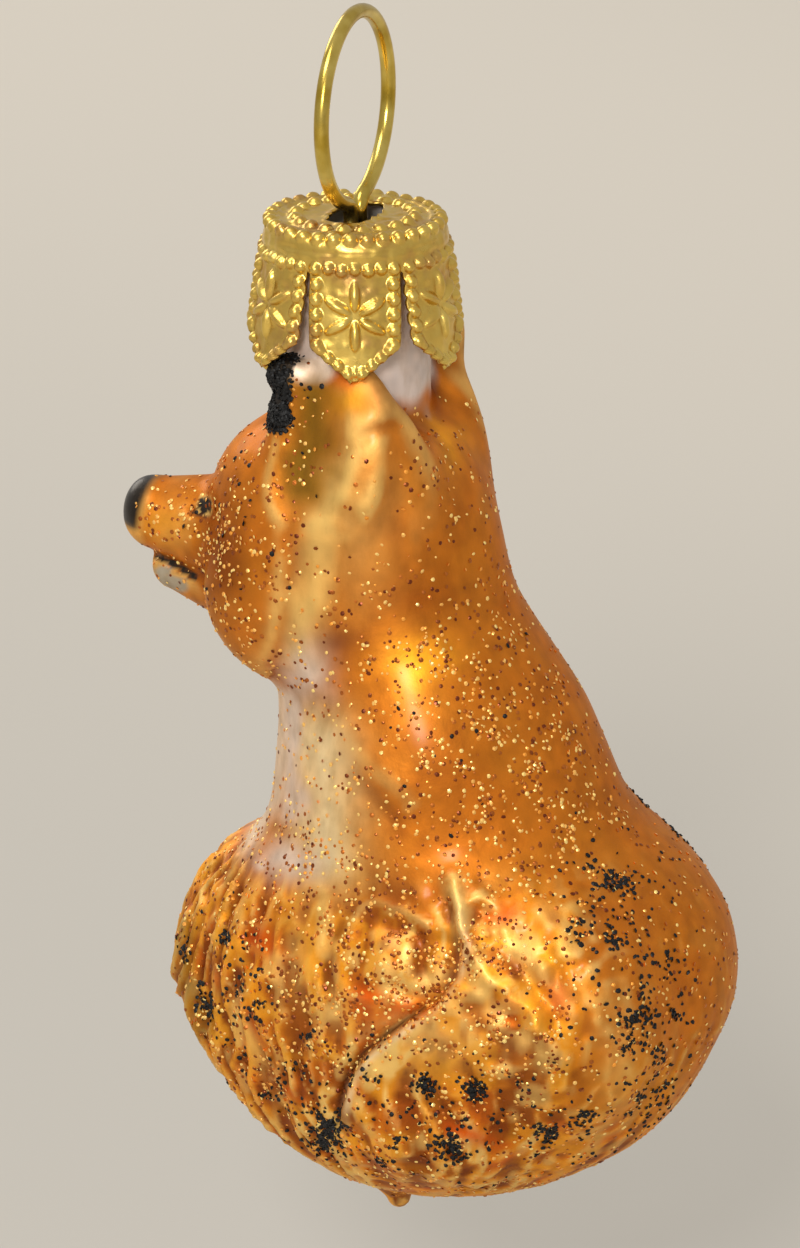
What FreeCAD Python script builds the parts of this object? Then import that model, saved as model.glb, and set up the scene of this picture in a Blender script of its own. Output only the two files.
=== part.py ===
import FreeCAD, Part
import Sketcher
import math
import os

# A small mould-blown glass fox ornament: a hollow glass fox whose blowing neck stands up
# between its ears, a stamped crown cap with six pointed flaps on that neck, and a round
# wire hanger whose two legs pass through the slot in the cap and spread inside the neck.
# The origin is where a hook bears, at the inside top of the hanger's loop. Z is up and
# the fox faces -Y, so its left side is at +X. The glass is drawn with its zero at the
# lowest point of the pip, the cap and the wire with theirs on top of the cap.

PARTS_FOLDER = "parts"

# Driving dimensions in millimetres.
SIZES = {
    "glass_height": 51.5,
    "glass_wall": 0.6,
    "neck_height": 9.3,
    "body_length": 28.6,
    "body_width": 20.8,
    "underside": 0.9,
    "cheek_size": 8.6,
    "muzzle_length": 12.2,
    "muzzle_width": 6.6,
    "muzzle_height": 6.0,
    "nose_width": 2.9,
    "ear_height": 9.4,
    "ear_breadth": 6.9,
    "ear_thickness": 2.6,
    "ear_spread": 9.2,
    "ear_hollow": 1.1,
    "tail_height": 13.6,
    "tail_thickness": 6.6,
    "tail_bulge": 0.6,
    "pip_dia": 1.4,
    "neck_dia": 7.5,
    "neck_wall": 0.6,
    "neck_root": 2.4,
    "bore_root": 4.8,
    "cap_dia": 9.2,
    "cap_sheet": 0.2,
    "cap_corner": 0.9,
    "cap_depth": 7.1,
    "cap_flare": 0.75,
    "cap_seat": 0.05,
    "flap_point": 1.6,
    "flap_tip": 0.4,
    "slit_start": 1.9,
    "slit_width": 0.2,
    "flap_gap": 0.9,
    "slot_length": 4.0,
    "slot_width": 2.2,
    "wire_dia": 0.75,
    "loop_dia": 9.5,
    "pinch_gap": 0.5,
    "pinch_radius": 0.95,
    "leg_length": 9.2,
    "leg_clearance": 0.15,
    "cut_overrun": 1.0,
}

# Counts, and angles in degrees.
FLAP_COUNT = 6
FLAP_TURN = 50
EAR_TURN = 14
EAR_LEAN = 14
EAR_SQUARENESS = 2.6
BODY_SIDES = 32
HOLLOW_SIDES = 20
MASS_SIDES = 16
MASS_ROWS = 8
WIRE_SIDES = 14
LOOP_STEPS = 16
BEND_STEPS = 6
HALF_TURN_AT_MOST = math.radians(181)

# Cross-sections of the body from the underside up to the foot of the neck, as shares:
# height of the skull's top, front and back of the body's length, width of the body's.
BODY_SHARES = [
    (0.000, 0.020, 0.290, 0.30),
    (0.032, -0.070, 0.445, 0.60),
    (0.088, -0.165, 0.552, 0.80),
    (0.160, -0.225, 0.626, 0.93),
    (0.233, -0.270, 0.672, 0.99),
    (0.305, -0.285, 0.694, 1.00),
    (0.378, -0.250, 0.690, 0.96),
    (0.438, -0.185, 0.652, 0.885),
    (0.482, -0.142, 0.575, 0.82),
    (0.516, -0.128, 0.500, 0.76),
    (0.560, -0.126, 0.468, 0.70),
    (0.632, -0.131, 0.418, 0.66),
    (0.705, -0.147, 0.348, 0.62),
    (0.765, -0.196, 0.294, 0.61),
    (0.825, -0.241, 0.262, 0.625),
    (0.887, -0.255, 0.241, 0.615),
    (0.935, -0.224, 0.206, 0.55),
    (0.971, -0.171, 0.175, 0.46),
    (1.000, -0.126, 0.126, 0.35),
]

# Rounded masses on the body, as shares of its width, length and the skull's height:
# centre across, along and up, then half width, half length and half height.
MASS_SHARES = {
    "LeftHaunch": ((0.290, 0.440, 0.332), (0.210, 0.215, 0.161)),
    "RightHaunch": ((-0.290, 0.440, 0.332), (0.210, 0.215, 0.161)),
    "HindFoot": ((0.300, 0.235, 0.195), (0.205, 0.200, 0.105)),
    "Paw": ((0.385, 0.160, 0.370), (0.110, 0.105, 0.060)),
    "LeftShoulder": ((0.190, 0.150, 0.560), (0.170, 0.170, 0.142)),
    "RightShoulder": ((-0.190, 0.150, 0.560), (0.170, 0.170, 0.142)),
    "LeftForeleg": ((0.091, -0.042, 0.470), (0.096, 0.080, 0.180)),
    "RightForeleg": ((-0.091, -0.042, 0.470), (0.096, 0.080, 0.180)),
    "LeftEarRoot": ((0.187, 0.101, 0.938), (0.072, 0.094, 0.085)),
    "RightEarRoot": ((-0.187, 0.101, 0.938), (0.072, 0.094, 0.085)),
}

# The tail lies round the front of the body from the right haunch to the left foot. Each
# row is the angle about the body, then shares: height of the tail's middle of the skull's
# top, and the section's height and thickness of the tail's own.
TAIL_SHARES = [
    (150, 0.273, 0.30, 0.30),
    (165, 0.273, 0.60, 0.66),
    (195, 0.276, 0.86, 0.95),
    (230, 0.284, 1.00, 1.00),
    (262, 0.277, 1.02, 1.00),
    (290, 0.245, 0.90, 0.92),
    (312, 0.195, 0.66, 0.72),
    (328, 0.160, 0.36, 0.40),
]
TAIL_LEAN_SHARE = 0.07

# The snout and the jaw run forward from the skull. Each row is shares: how far forward of
# the muzzle's length, how high of its height, then half width and half height of its own.
SNOUT_SHARES = [
    (0.20, 0.00, 0.40, 0.40),
    (0.46, -0.03, 0.50, 0.50),
    (0.66, 0.00, 0.42, 0.425),
    (0.85, 0.05, 0.31, 0.33),
    (0.94, 0.08, 0.23, 0.25),
    (1.00, 0.10, 0.08, 0.09),
]
JAW_SHARES = [
    (0.20, -0.50, 0.31, 0.30),
    (0.41, -0.50, 0.40, 0.41),
    (0.60, -0.45, 0.31, 0.31),
    (0.78, -0.385, 0.22, 0.215),
    (0.85, -0.37, 0.14, 0.13),
    (0.885, -0.37, 0.04, 0.04),
]

# The nose's place of the muzzle's length and height and its half sizes of its width, the
# cheek's step to the side and half sizes, and the scoop's half sizes of the ear's.
NOSE_PLACE_SHARES = (0.926, 0.167)
NOSE_SHARES = (0.5, 0.33, 0.43)
CHEEK_STEP_SHARE = 0.35
CHEEK_SHARES = (0.39, 0.50, 0.56)
SCOOP_SHARES = (0.70, 0.76)
PIP_BASE_SHARE = 1.5

# Places on the fox: heights as shares of the skull's top, places along it as shares of
# the body's length.
PLACE_SHARES = {
    "muzzle": (0.000, 0.827),
    "cheek": (-0.080, 0.768),
    "ear": (0.003, 0.9715),
    "tail": (0.206, 0.000),
    "pip": (0.080, 0.000),
}

# Lengths that several pieces share, written in the sheet's own cells. The wire is pinched
# halfway through the cap's sheet, and its leg ends just clear of the neck's inner wall.
PINCH_ACROSS = "(Sizes.pinch_gap / 2 + Sizes.wire_dia / 2 + Sizes.pinch_radius)"
LOOP_RADIUS = "(Sizes.loop_dia / 2)"
LOOP_ABOVE_PINCH = f"sqrt(({LOOP_RADIUS} + Sizes.pinch_radius)^2 - {PINCH_ACROSS}^2)"
LOOP_MIDDLE = f"({LOOP_ABOVE_PINCH} - Sizes.cap_sheet / 2)"
CAP_LEVEL = f"-({LOOP_MIDDLE} + {LOOP_RADIUS} - Sizes.wire_dia / 2)"
GLASS_LEVEL = f"{CAP_LEVEL} - Sizes.cap_sheet - Sizes.cap_seat - Sizes.glass_height"
BORE_RADIUS = "(Sizes.neck_dia / 2 - Sizes.neck_wall)"
LEG_ACROSS = f"({BORE_RADIUS} - Sizes.leg_clearance - Sizes.wire_dia / 2)"
CAP_RADIUS = "(Sizes.cap_dia / 2)"
SHOULDER_RADIUS = f"({CAP_RADIUS} - Sizes.cap_corner)"
FLAP_REACH = f"({CAP_RADIUS} + Sizes.cap_flare)"
SKULL_TOP_ROW = str(len(SIZES) + 1)


def vector(x=0, y=0, z=0):
    return FreeCAD.Vector(x, y, z)


def make_sheet(doc):
    sheet = doc.addObject("Spreadsheet::Sheet", "Sizes")
    for row, (name, value) in enumerate(SIZES.items(), start=1):
        sheet.set(f"A{row}", name)
        sheet.set(f"B{row}", str(value))
        sheet.setAlias(f"B{row}", name)
    sheet.set("A" + SKULL_TOP_ROW, "skull_top")
    sheet.set("B" + SKULL_TOP_ROW, "=glass_height - neck_height")
    sheet.setAlias("B" + SKULL_TOP_ROW, "skull_top")
    doc.recompute()
    return sheet


def bind(item, **sizes):
    for name, text in sizes.items():
        item.setExpression(name.replace("_", "."), text)


def place(item, across, along, up):
    bind(item, Placement_Base_x=across, Placement_Base_y=along, Placement_Base_z=up)


def solid(doc, name, shape, turn=FreeCAD.Rotation()):
    item = doc.addObject("Part::Feature", name)
    item.Shape = shape
    item.Placement.Rotation = turn
    return item


def together(doc, name, shapes):
    union = doc.addObject("Part::MultiFuse", name)
    union.Shapes = shapes
    union.Refine = False
    return union


def spaced(rows):
    """Put one more row halfway between each two, on a smooth curve through them all."""
    ends = [rows[0]] + rows + [rows[-1]]
    result = []
    for before, start, stop, after in zip(ends, ends[1:], ends[2:], ends[3:]):
        halfway = tuple(
            (9 * (near + far) - outer - beyond) / 16
            for outer, near, far, beyond in zip(before, start, stop, after)
        )
        result += [start, halfway]
    return result + [rows[-1]]


def ring(middle, across, along, sides):
    """Corners round an oval whose half axes are the two given vectors."""
    turns = [math.tau * side / sides for side in range(sides)]
    return [middle + across * math.cos(turn) + along * math.sin(turn) for turn in turns]


def skin(rings):
    """A closed solid of flat faces through the rings, each quad split along a diagonal."""
    outlines = [rings[0][::-1], rings[-1]]
    for low, high in zip(rings, rings[1:]):
        for corner, following in zip(range(len(low)), list(range(1, len(low))) + [0]):
            outlines.append([low[corner], low[following], high[following]])
            outlines.append([low[corner], high[following], high[corner]])
    faces = [Part.Face(Part.makePolygon(outline + outline[:1])) for outline in outlines]
    shape = Part.Solid(Part.Shell(faces))
    return shape if shape.Volume > 0 else shape.reversed()


def rounded_mass(half_width, half_length, half_height, squareness=2):
    """An oval mass, or with more squareness one whose outline from the side is squarer."""
    rings = []
    for row in range(MASS_ROWS):
        rise = math.pi * ((row + 0.5) / MASS_ROWS - 0.5)
        fullness = (1 - abs(math.sin(rise)) ** squareness) ** (1 / squareness)
        across = vector(half_width * math.cos(rise))
        along = vector(0, half_length * fullness)
        rings.append(ring(vector(0, 0, half_height * math.sin(rise)), across, along, MASS_SIDES))
    return skin(rings)


def body_skin(size, sides, inset=0):
    bottom = size("underside") + inset
    rings = []
    for height, front, back, width in BODY_SHARES:
        middle = vector(0, size("body_length") * (front + back) / 2)
        middle.z = bottom + (size("skull_top") - inset - bottom) * height
        across = vector(size("body_width") * width / 2 - inset)
        along = vector(0, size("body_length") * (back - front) / 2 - inset)
        rings.append(ring(middle, across, along, sides))
    return skin(rings)


def level_of(name, side="0"):
    along, up = PLACE_SHARES[name]
    return side, f"Sizes.body_length * {along}", f"Sizes.skull_top * {up}"


def body_masses(doc, size):
    masses = []
    for name, ((across, along, up), (wide, long, high)) in MASS_SHARES.items():
        shape = rounded_mass(
            size("body_width") * wide, size("body_length") * long, size("skull_top") * high
        )
        mass = solid(doc, name, shape)
        place(mass, f"Sizes.body_width * {across}", f"Sizes.body_length * {along}",
              f"Sizes.skull_top * {up}")
        masses.append(mass)
    return masses


def tail(doc, size):
    rings = []
    for angle, up, high, thick in spaced(TAIL_SHARES):
        turn = math.radians(angle)
        outward = vector(math.cos(turn), math.sin(turn))
        inward_of = size("tail_thickness") / 2 - size("tail_bulge")
        middle = vector(
            (size("body_width") / 2 - inward_of) * outward.x,
            (size("body_length") / 2 - inward_of) * outward.y,
            size("skull_top") * up,
        )
        rings.append(ring(
            middle,
            outward * (size("tail_thickness") * thick / 2),
            (vector(0, 0, 1) + outward * TAIL_LEAN_SHARE) * (size("tail_height") * high / 2),
            MASS_SIDES,
        ))
    brush = solid(doc, "Tail", skin(rings))
    place(brush, *level_of("tail"))
    return brush


def forward_mass(size, rows):
    wide, long, high = size("muzzle_width"), size("muzzle_length"), size("muzzle_height")
    rings = []
    for forward, up, half_width, half_height in spaced(rows):
        middle = vector(0, -long * forward, high * up)
        rings.append(ring(
            middle, vector(wide * half_width), vector(0, 0, high * half_height), MASS_SIDES
        ))
    return skin(rings)


def muzzle(doc, size):
    across, along, up = level_of("muzzle")
    snout = solid(doc, "Snout", forward_mass(size, SNOUT_SHARES))
    jaw = solid(doc, "Jaw", forward_mass(size, JAW_SHARES))
    nose = solid(doc, "Nose", rounded_mass(*[size("nose_width") * half for half in NOSE_SHARES]))
    forward, higher = NOSE_PLACE_SHARES
    place(snout, across, along, up)
    place(jaw, across, along, up)
    place(nose, across, f"{along} - Sizes.muzzle_length * {forward}",
          f"{up} + Sizes.muzzle_height * {higher}")
    return [snout, jaw, nose]


def cheek(doc, size, name, side):
    puff = solid(doc, name, rounded_mass(*[size("cheek_size") * half for half in CHEEK_SHARES]))
    place(puff, *level_of("cheek", f"{side} * Sizes.cheek_size * {CHEEK_STEP_SHARE}"))
    return puff


def ear(doc, size, name, side):
    """An upright lobe leaning in towards the neck, and the scoop taken from its face."""
    turn = FreeCAD.Rotation(vector(0, 0, 1), -side * EAR_TURN)
    pose = turn * FreeCAD.Rotation(vector(0, 1, 0), -side * EAR_LEAN)
    outward = pose.multVec(vector(side))
    half = size("ear_thickness") / 2, size("ear_breadth") / 2, size("ear_height") / 2
    across, along, up = level_of("ear", f"{side} * Sizes.ear_spread / 2")
    lobe = solid(doc, name, rounded_mass(*half, EAR_SQUARENESS), pose)
    place(lobe, across, along, up)
    narrower, lower = SCOOP_SHARES
    hollow = rounded_mass(half[0], half[1] * narrower, half[2] * lower)
    scoop = solid(doc, name + "Scoop", hollow, pose)
    reach = "(Sizes.ear_thickness - Sizes.ear_hollow)"
    place(scoop, f"{across} + {reach} * {outward.x}", f"{along} + {reach} * {outward.y}",
          f"{up} + {reach} * {outward.z}")
    return lobe, scoop


def neck(doc):
    tube = doc.addObject("Part::Cylinder", "Neck")
    bind(tube, Radius="Sizes.neck_dia / 2",
         Height="Sizes.neck_height + Sizes.neck_root")
    place(tube, "0", "0", "Sizes.skull_top - Sizes.neck_root")
    bore = doc.addObject("Part::Cylinder", "Bore")
    bind(bore, Radius=BORE_RADIUS,
         Height="Sizes.neck_height + Sizes.bore_root + Sizes.cut_overrun")
    place(bore, "0", "0", "Sizes.skull_top - Sizes.bore_root")
    return tube, bore


def pip(doc):
    """The closed and fire-polished end of the glass, a small blunt cone underneath."""
    cone = doc.addObject("Part::Cone", "Pip")
    bind(cone, Radius1="Sizes.pip_dia / 2", Radius2=f"Sizes.pip_dia * {PIP_BASE_SHARE}",
         Height="Sizes.underside * 2")
    place(cone, *level_of("pip"))
    return cone


def make_glass(doc, size):
    tube, bore = neck(doc)
    left_ear, left_scoop = ear(doc, size, "LeftEar", 1)
    right_ear, right_scoop = ear(doc, size, "RightEar", -1)
    masses = [solid(doc, "Body", body_skin(size, BODY_SIDES))]
    masses += body_masses(doc, size)
    masses += [tail(doc, size), tube, left_ear, right_ear, pip(doc)]
    masses += muzzle(doc, size)
    masses += [cheek(doc, size, "LeftCheek", 1), cheek(doc, size, "RightCheek", -1)]
    hollow = solid(doc, "Hollow", body_skin(size, HOLLOW_SIDES, size("glass_wall")))
    glass = doc.addObject("Part::Cut", "Glass")
    glass.Base = together(doc, "Outside", masses)
    glass.Tool = together(doc, "Inside", [hollow, bore, left_scoop, right_scoop])
    glass.Refine = False
    glass.Label = "glass_body"
    return glass


def plane_of(body, role):
    return next(item for item in body.Origin.OriginFeatures if item.Role == role)


def sketch_on(body, name, role, turn=FreeCAD.Rotation()):
    sketch = body.newObject("Sketcher::SketchObject", name)
    sketch.AttachmentSupport = (plane_of(body, role), [""])
    sketch.MapMode = "FlatFace"
    sketch.AttachmentOffset = FreeCAD.Placement(vector(), turn)
    return sketch


def dimension(sketch, kind, text, *where):
    """One driving dimension: its kind, its size from the sheet and what it measures."""
    value = float(sketch.evalExpression(text))
    number = sketch.addConstraint(Sketcher.Constraint(kind, *where, value))
    sketch.setExpression(f"Constraints[{number}]", text)


def point_in(sketch, texts):
    return vector(*[float(sketch.evalExpression(text)) for text in texts])


def outline(sketch, corners, arcs=None):
    """Close the corners with lines, or with an arc round a given middle after a corner."""
    arcs = arcs or {}
    points = [point_in(sketch, corner) for corner in corners]
    ends = []
    for number, start in enumerate(points):
        stop = points[(number + 1) % len(points)]
        if number not in arcs:
            ends.append((sketch.addGeometry(Part.LineSegment(start, stop), False), 1, 2))
            continue
        middle = point_in(sketch, arcs[number])
        angles = [math.atan2((end - middle).y, (end - middle).x) for end in (start, stop)]
        ahead = (angles[1] - angles[0]) % math.tau < HALF_TURN_AT_MOST
        circle = Part.Circle(middle, vector(0, 0, 1), (start - middle).Length)
        arc = Part.ArcOfCircle(circle, *(angles if ahead else angles[::-1]))
        geometry = sketch.addGeometry(arc, False)
        ends.append((geometry, 1, 2) if ahead else (geometry, 2, 1))
        dimension(sketch, "DistanceX", arcs[number][0], -1, 1, geometry, 3)
    for number, (geometry, first, _) in enumerate(ends):
        before, _, last = ends[number - 1]
        sketch.addConstraint(Sketcher.Constraint("Coincident", before, last, geometry, first))
        dimension(sketch, "DistanceX", corners[number][0], -1, 1, geometry, first)
        dimension(sketch, "DistanceY", corners[number][1], -1, 1, geometry, first)


def cap_profile(body):
    """Half the cap's section: round top, rolled corner, straight collar, flaring skirt."""
    sheet, corner, start = "Sizes.cap_sheet", "Sizes.cap_corner", "Sizes.slit_start"
    corners = [
        ("0", "0"),
        (SHOULDER_RADIUS, "0"),
        (CAP_RADIUS, f"-{corner}"),
        (CAP_RADIUS, f"-{start}"),
        (FLAP_REACH, "-Sizes.cap_depth"),
        (f"{FLAP_REACH} - {sheet}", "-Sizes.cap_depth"),
        (f"{CAP_RADIUS} - {sheet}", f"-{start}"),
        (f"{CAP_RADIUS} - {sheet}", f"-{corner}"),
        (SHOULDER_RADIUS, f"-{sheet}"),
        ("0", f"-{sheet}"),
    ]
    corner_middle = (SHOULDER_RADIUS, f"-{corner}")
    arcs = {1: corner_middle, 7: corner_middle}
    sketch = sketch_on(body, "CapProfile", "XZ_Plane")
    outline(sketch, corners, arcs)
    turned = body.newObject("PartDesign::Revolution", "CapSheet")
    turned.Profile = sketch
    turned.ReferenceAxis = (sketch, ["V_Axis"])
    turned.Angle = 360
    return turned


def cap_slot(body):
    """The round-ended slot in the top that the two strands of the wire pass through."""
    straight, half = "(Sizes.slot_length / 2 - Sizes.slot_width / 2)", "(Sizes.slot_width / 2)"
    corners = [
        (f"-{straight}", f"-{half}"),
        (straight, f"-{half}"),
        (straight, half),
        (f"-{straight}", half),
    ]
    arcs = {1: (straight, "0"), 3: (f"-{straight}", "0")}
    sketch = sketch_on(body, "SlotOutline", "XY_Plane")
    outline(sketch, corners, arcs)
    slot = body.newObject("PartDesign::Pocket", "Slot")
    slot.Profile = sketch
    slot.Type = "ThroughAll"
    slot.Midplane = True
    return slot


def cap_notches(body):
    """The slits between the flaps, which widen and run out to leave pointed flap ends."""
    half_slit, half_gap = "(Sizes.slit_width / 2)", "(Sizes.flap_gap / 2)"
    tip = f"({FLAP_REACH} * sin(180 / {FLAP_COUNT}) - Sizes.flap_tip / 2)"
    wide_at = "(Sizes.cap_depth - Sizes.flap_point)"
    below = "(Sizes.cap_depth + Sizes.cut_overrun)"
    right_side = [
        (half_slit, "-Sizes.slit_start"),
        (half_gap, f"-{wide_at}"),
        (tip, "-Sizes.cap_depth"),
        (tip, f"-{below}"),
    ]
    left_side = [(f"-{across}", up) for across, up in reversed(right_side)]
    turn = FreeCAD.Rotation(vector(0, 1, 0), FLAP_TURN)
    sketch = sketch_on(body, "NotchOutline", "YZ_Plane", turn)
    outline(sketch, right_side + left_side)
    notch = body.newObject("PartDesign::Pocket", "Notch")
    notch.Profile = sketch
    bind(notch, Length=f"{FLAP_REACH} + Sizes.cut_overrun")
    pattern = body.newObject("PartDesign::PolarPattern", "Notches")
    pattern.Originals = [notch]
    pattern.Axis = (sketch, ["V_Axis"])
    pattern.Angle = 360
    pattern.Occurrences = FLAP_COUNT
    body.Tip = pattern
    return notch


def make_cap(doc):
    body = doc.addObject("PartDesign::Body", "Cap")
    cap_profile(body)
    cap_slot(body)
    doc.recompute()
    cap_notches(body)
    place(body, "0", "0", CAP_LEVEL)
    body.Label = "ornament_cap"
    return body


def along_arc(middle, radius, start, stop, steps, ahead):
    """Points round an arc in the loop's plane, each with the way the wire runs there."""
    result = []
    for step in range(steps + 1):
        turn = start + (stop - start) * step / steps
        outward = vector(math.cos(turn), 0, math.sin(turn))
        result.append((middle + outward * radius, turn + ahead * math.pi / 2))
    return result


def half_wire(size_of):
    """From the top of the loop down one side, round the bend at the pinch to the leg's end."""
    loop, bend = size_of(LOOP_RADIUS), size_of("Sizes.pinch_radius")
    loop_middle = vector(0, 0, size_of(LOOP_MIDDLE))
    bend_middle = vector(size_of(PINCH_ACROSS), 0, -size_of("Sizes.cap_sheet / 2"))
    leg_end = vector(size_of(LEG_ACROSS), 0, -size_of("Sizes.leg_length"))
    to_loop, to_end = loop_middle - bend_middle, leg_end - bend_middle
    joint = math.atan2(to_loop.z, to_loop.x)
    leave = math.atan2(to_end.z, to_end.x) - math.acos(bend / to_end.Length) + math.tau
    route = along_arc(loop_middle, loop, math.pi / 2, joint - math.pi, LOOP_STEPS, -1)
    route += along_arc(bend_middle, bend, joint, leave, BEND_STEPS, 1)[1:]
    return route + [(leg_end, leave + math.pi / 2)]


def make_hanger(doc, size_of):
    """One wire of round section: leg, pinch, loop, pinch, leg, alike on both sides."""
    radius = size_of("Sizes.wire_dia / 2")
    rings = []
    for point, heading in half_wire(size_of):
        across = vector(-math.sin(heading), 0, math.cos(heading)) * radius
        rings.append(ring(point, across, vector(0, radius), WIRE_SIDES))
    other_side = [[vector(-at.x, at.y, at.z) for at in corners] for corners in rings[:0:-1]]
    hanger = solid(doc, "Hanger", skin(other_side + rings))
    place(hanger, "0", "0", CAP_LEVEL)
    hanger.Label = "hanger_wire"
    return hanger


def check(doc, nodes):
    broken = [item.Name for item in doc.Objects if {"Invalid", "Error"} & set(item.State)]
    if broken:
        raise RuntimeError("failed: " + ", ".join(broken))
    for node in nodes:
        if node.Shape.isNull() or not node.Shape.isValid() or len(node.Shape.Solids) != 1:
            raise RuntimeError("bad shape: " + node.Label)


def main():
    doc = FreeCAD.newDocument("FoxOrnament")
    sheet = make_sheet(doc)
    glass = make_glass(doc, sheet.get)
    place(glass, "0", "0", GLASS_LEVEL)
    nodes = [glass, make_cap(doc), make_hanger(doc, sheet.evalExpression)]
    doc.recompute()
    check(doc, nodes)
    os.makedirs(PARTS_FOLDER, exist_ok=True)
    for node in nodes:
        node.Shape.exportStep(os.path.join(PARTS_FOLDER, node.Label + ".step"))
        print(node.Label, "volume", round(node.Shape.Volume, 2))


main()
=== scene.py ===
from math import acos, atan2, cos, pi, radians, sin, sqrt, tau

import bpy
import numpy as np
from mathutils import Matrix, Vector


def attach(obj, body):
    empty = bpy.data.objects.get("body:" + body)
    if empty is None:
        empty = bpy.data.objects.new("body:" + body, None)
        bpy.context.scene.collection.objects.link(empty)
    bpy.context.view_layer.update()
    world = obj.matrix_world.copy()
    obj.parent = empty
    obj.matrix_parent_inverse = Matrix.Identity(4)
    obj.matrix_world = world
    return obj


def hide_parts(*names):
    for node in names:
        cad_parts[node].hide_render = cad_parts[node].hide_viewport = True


# The fox is sculpted in millimetres above the tip of the solids' pip, then moved into the
# frame. It faces -Y, its left side is at +X and Z is up, as in the solids.
MM = 0.001
PIP_LEVEL = -61.5
PITCH, HOLLOW_ROUNDS = ((0.2, 16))

# The photograph's camera: its place, its target and the millimetres that a pixel covers
CAMERA_TURN, CAMERA_RISE = radians(110), radians(18)
CAMERA_TARGET = np.array([-0.75, 2.07, 30.45])
CAMERA_AWAY = 450.0
PIXEL = 0.05
FRAME_MIDDLE = (400, 624)
BACK = np.array([
    sin(CAMERA_TURN) * cos(CAMERA_RISE),
    -cos(CAMERA_TURN) * cos(CAMERA_RISE),
    sin(CAMERA_RISE),
])
RIGHT = np.array([cos(CAMERA_TURN), sin(CAMERA_TURN), 0.0])
UP = np.cross(BACK, RIGHT)

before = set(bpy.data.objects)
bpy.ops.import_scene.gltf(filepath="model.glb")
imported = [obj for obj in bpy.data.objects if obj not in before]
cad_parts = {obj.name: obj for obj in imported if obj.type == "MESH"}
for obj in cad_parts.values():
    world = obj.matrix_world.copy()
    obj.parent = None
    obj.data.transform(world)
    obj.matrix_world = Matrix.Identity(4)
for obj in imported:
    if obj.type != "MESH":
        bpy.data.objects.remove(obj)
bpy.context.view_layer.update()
rng = np.random.default_rng(20)


# Fields: each gives the rough distance to a surface, below zero inside

SKULL_TOP, BODY_LENGTH, BODY_WIDTH, UNDERSIDE = 42.2, 28.6, 20.8, 1.4
SKULL_BLEND, UNDERSIDE_BLEND = 2.5, 1.6
NECK_RADIUS, NECK_MIDDLE, NECK_HALF, NECK_EDGE = 3.75, 45.25, 6.25, 0.12
NECK_WALL, BODY_WALL, BORE_MIDDLE, BORE_HALF = 0.6, 0.9, 45.0, 9.0
GRID_LOW, GRID_HIGH = (-12, -13.6, -1.2), (12, 22, 52.4)
FAR_OUTSIDE, EVERYWHERE = 9.0, 99.0
CORNERS = [(i, j, k) for i in (0, 1) for j in (0, 1) for k in (0, 1)]

# The body's ovals from the underside up, as shares: height, front, back and width
BODY_SHARES = [
    (0.000, 0.020, 0.280, 0.30),
    (0.032, -0.070, 0.400, 0.55),
    (0.088, -0.165, 0.535, 0.78),
    (0.160, -0.225, 0.620, 0.93),
    (0.233, -0.270, 0.672, 0.99),
    (0.305, -0.285, 0.694, 1.00),
    (0.378, -0.250, 0.676, 0.96),
    (0.438, -0.185, 0.612, 0.885),
    (0.482, -0.142, 0.533, 0.82),
    (0.516, -0.128, 0.490, 0.76),
    (0.560, -0.126, 0.464, 0.70),
    (0.632, -0.131, 0.416, 0.66),
    (0.705, -0.147, 0.342, 0.62),
    (0.765, -0.196, 0.286, 0.61),
    (0.825, -0.241, 0.262, 0.625),
    (0.887, -0.255, 0.241, 0.615),
    (0.935, -0.224, 0.206, 0.55),
    (0.971, -0.171, 0.175, 0.46),
    (1.000, -0.126, 0.126, 0.35),
]

# The brush by degrees round the body, as shares: level, height and thickness
TAIL_SHARES = [
    (150, 0.273, 0.30, 0.30),
    (165, 0.273, 0.60, 0.66),
    (195, 0.276, 0.86, 0.95),
    (230, 0.284, 1.00, 1.00),
    (262, 0.277, 1.02, 1.00),
    (290, 0.245, 0.90, 0.92),
    (312, 0.195, 0.66, 0.72),
    (328, 0.160, 0.36, 0.40),
]
TAIL_HEIGHT, TAIL_THICKNESS, TAIL_BULGE = 13.6, 6.6, 0.6
TAIL_MIDDLE_SHARE = 0.206
TAIL_TAPER, TAIL_END = 0.42, 0.05

# Rounded forms: centre, radii, blend and whether both sides have it
TRUNK_FORMS = [
    ((3.95, 4.3, 23.6), (3.9, 5.0, 6.2), 2.0, True),
    ((1.9, -1.2, 19.8), (2.0, 2.3, 7.6), 1.2, True),
    ((6.0, 12.0, 13.6), (4.4, 6.2, 6.4), 1.6, False),
    ((-5.4, 12.0, 12.6), (4.4, 6.0, 5.2), 1.6, False),
    ((6.2, 6.7, 8.2), (4.3, 5.7, 4.4), 1.0, False),
]
KNEE_FORMS = [((8.0, 4.6, 15.6), (2.3, 3.0, 2.5), 0.7, False)]
CHEEK_FORMS = [((3.1, -2.3, 32.9), (3.3, 4.4, 4.5), 1.4, True)]
NOSE_FORMS = [((0, -11.15, 35.8), (1.3, 0.85, 1.1), 0.45, False)]
EAR_FORMS = [
    ((3.9, -1.95, 44.3), (0.75, 1.2, 1.0), 0.5, True),
    ((-5.05, 3.2, 44.8), (0.5, 0.7, 1.4), 0.8, False),
    ((3.8, 2.7, 39.3), (1.4, 2.6, 3.6), 2.4, True),
]
FORM_REACH = 2.5

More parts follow.
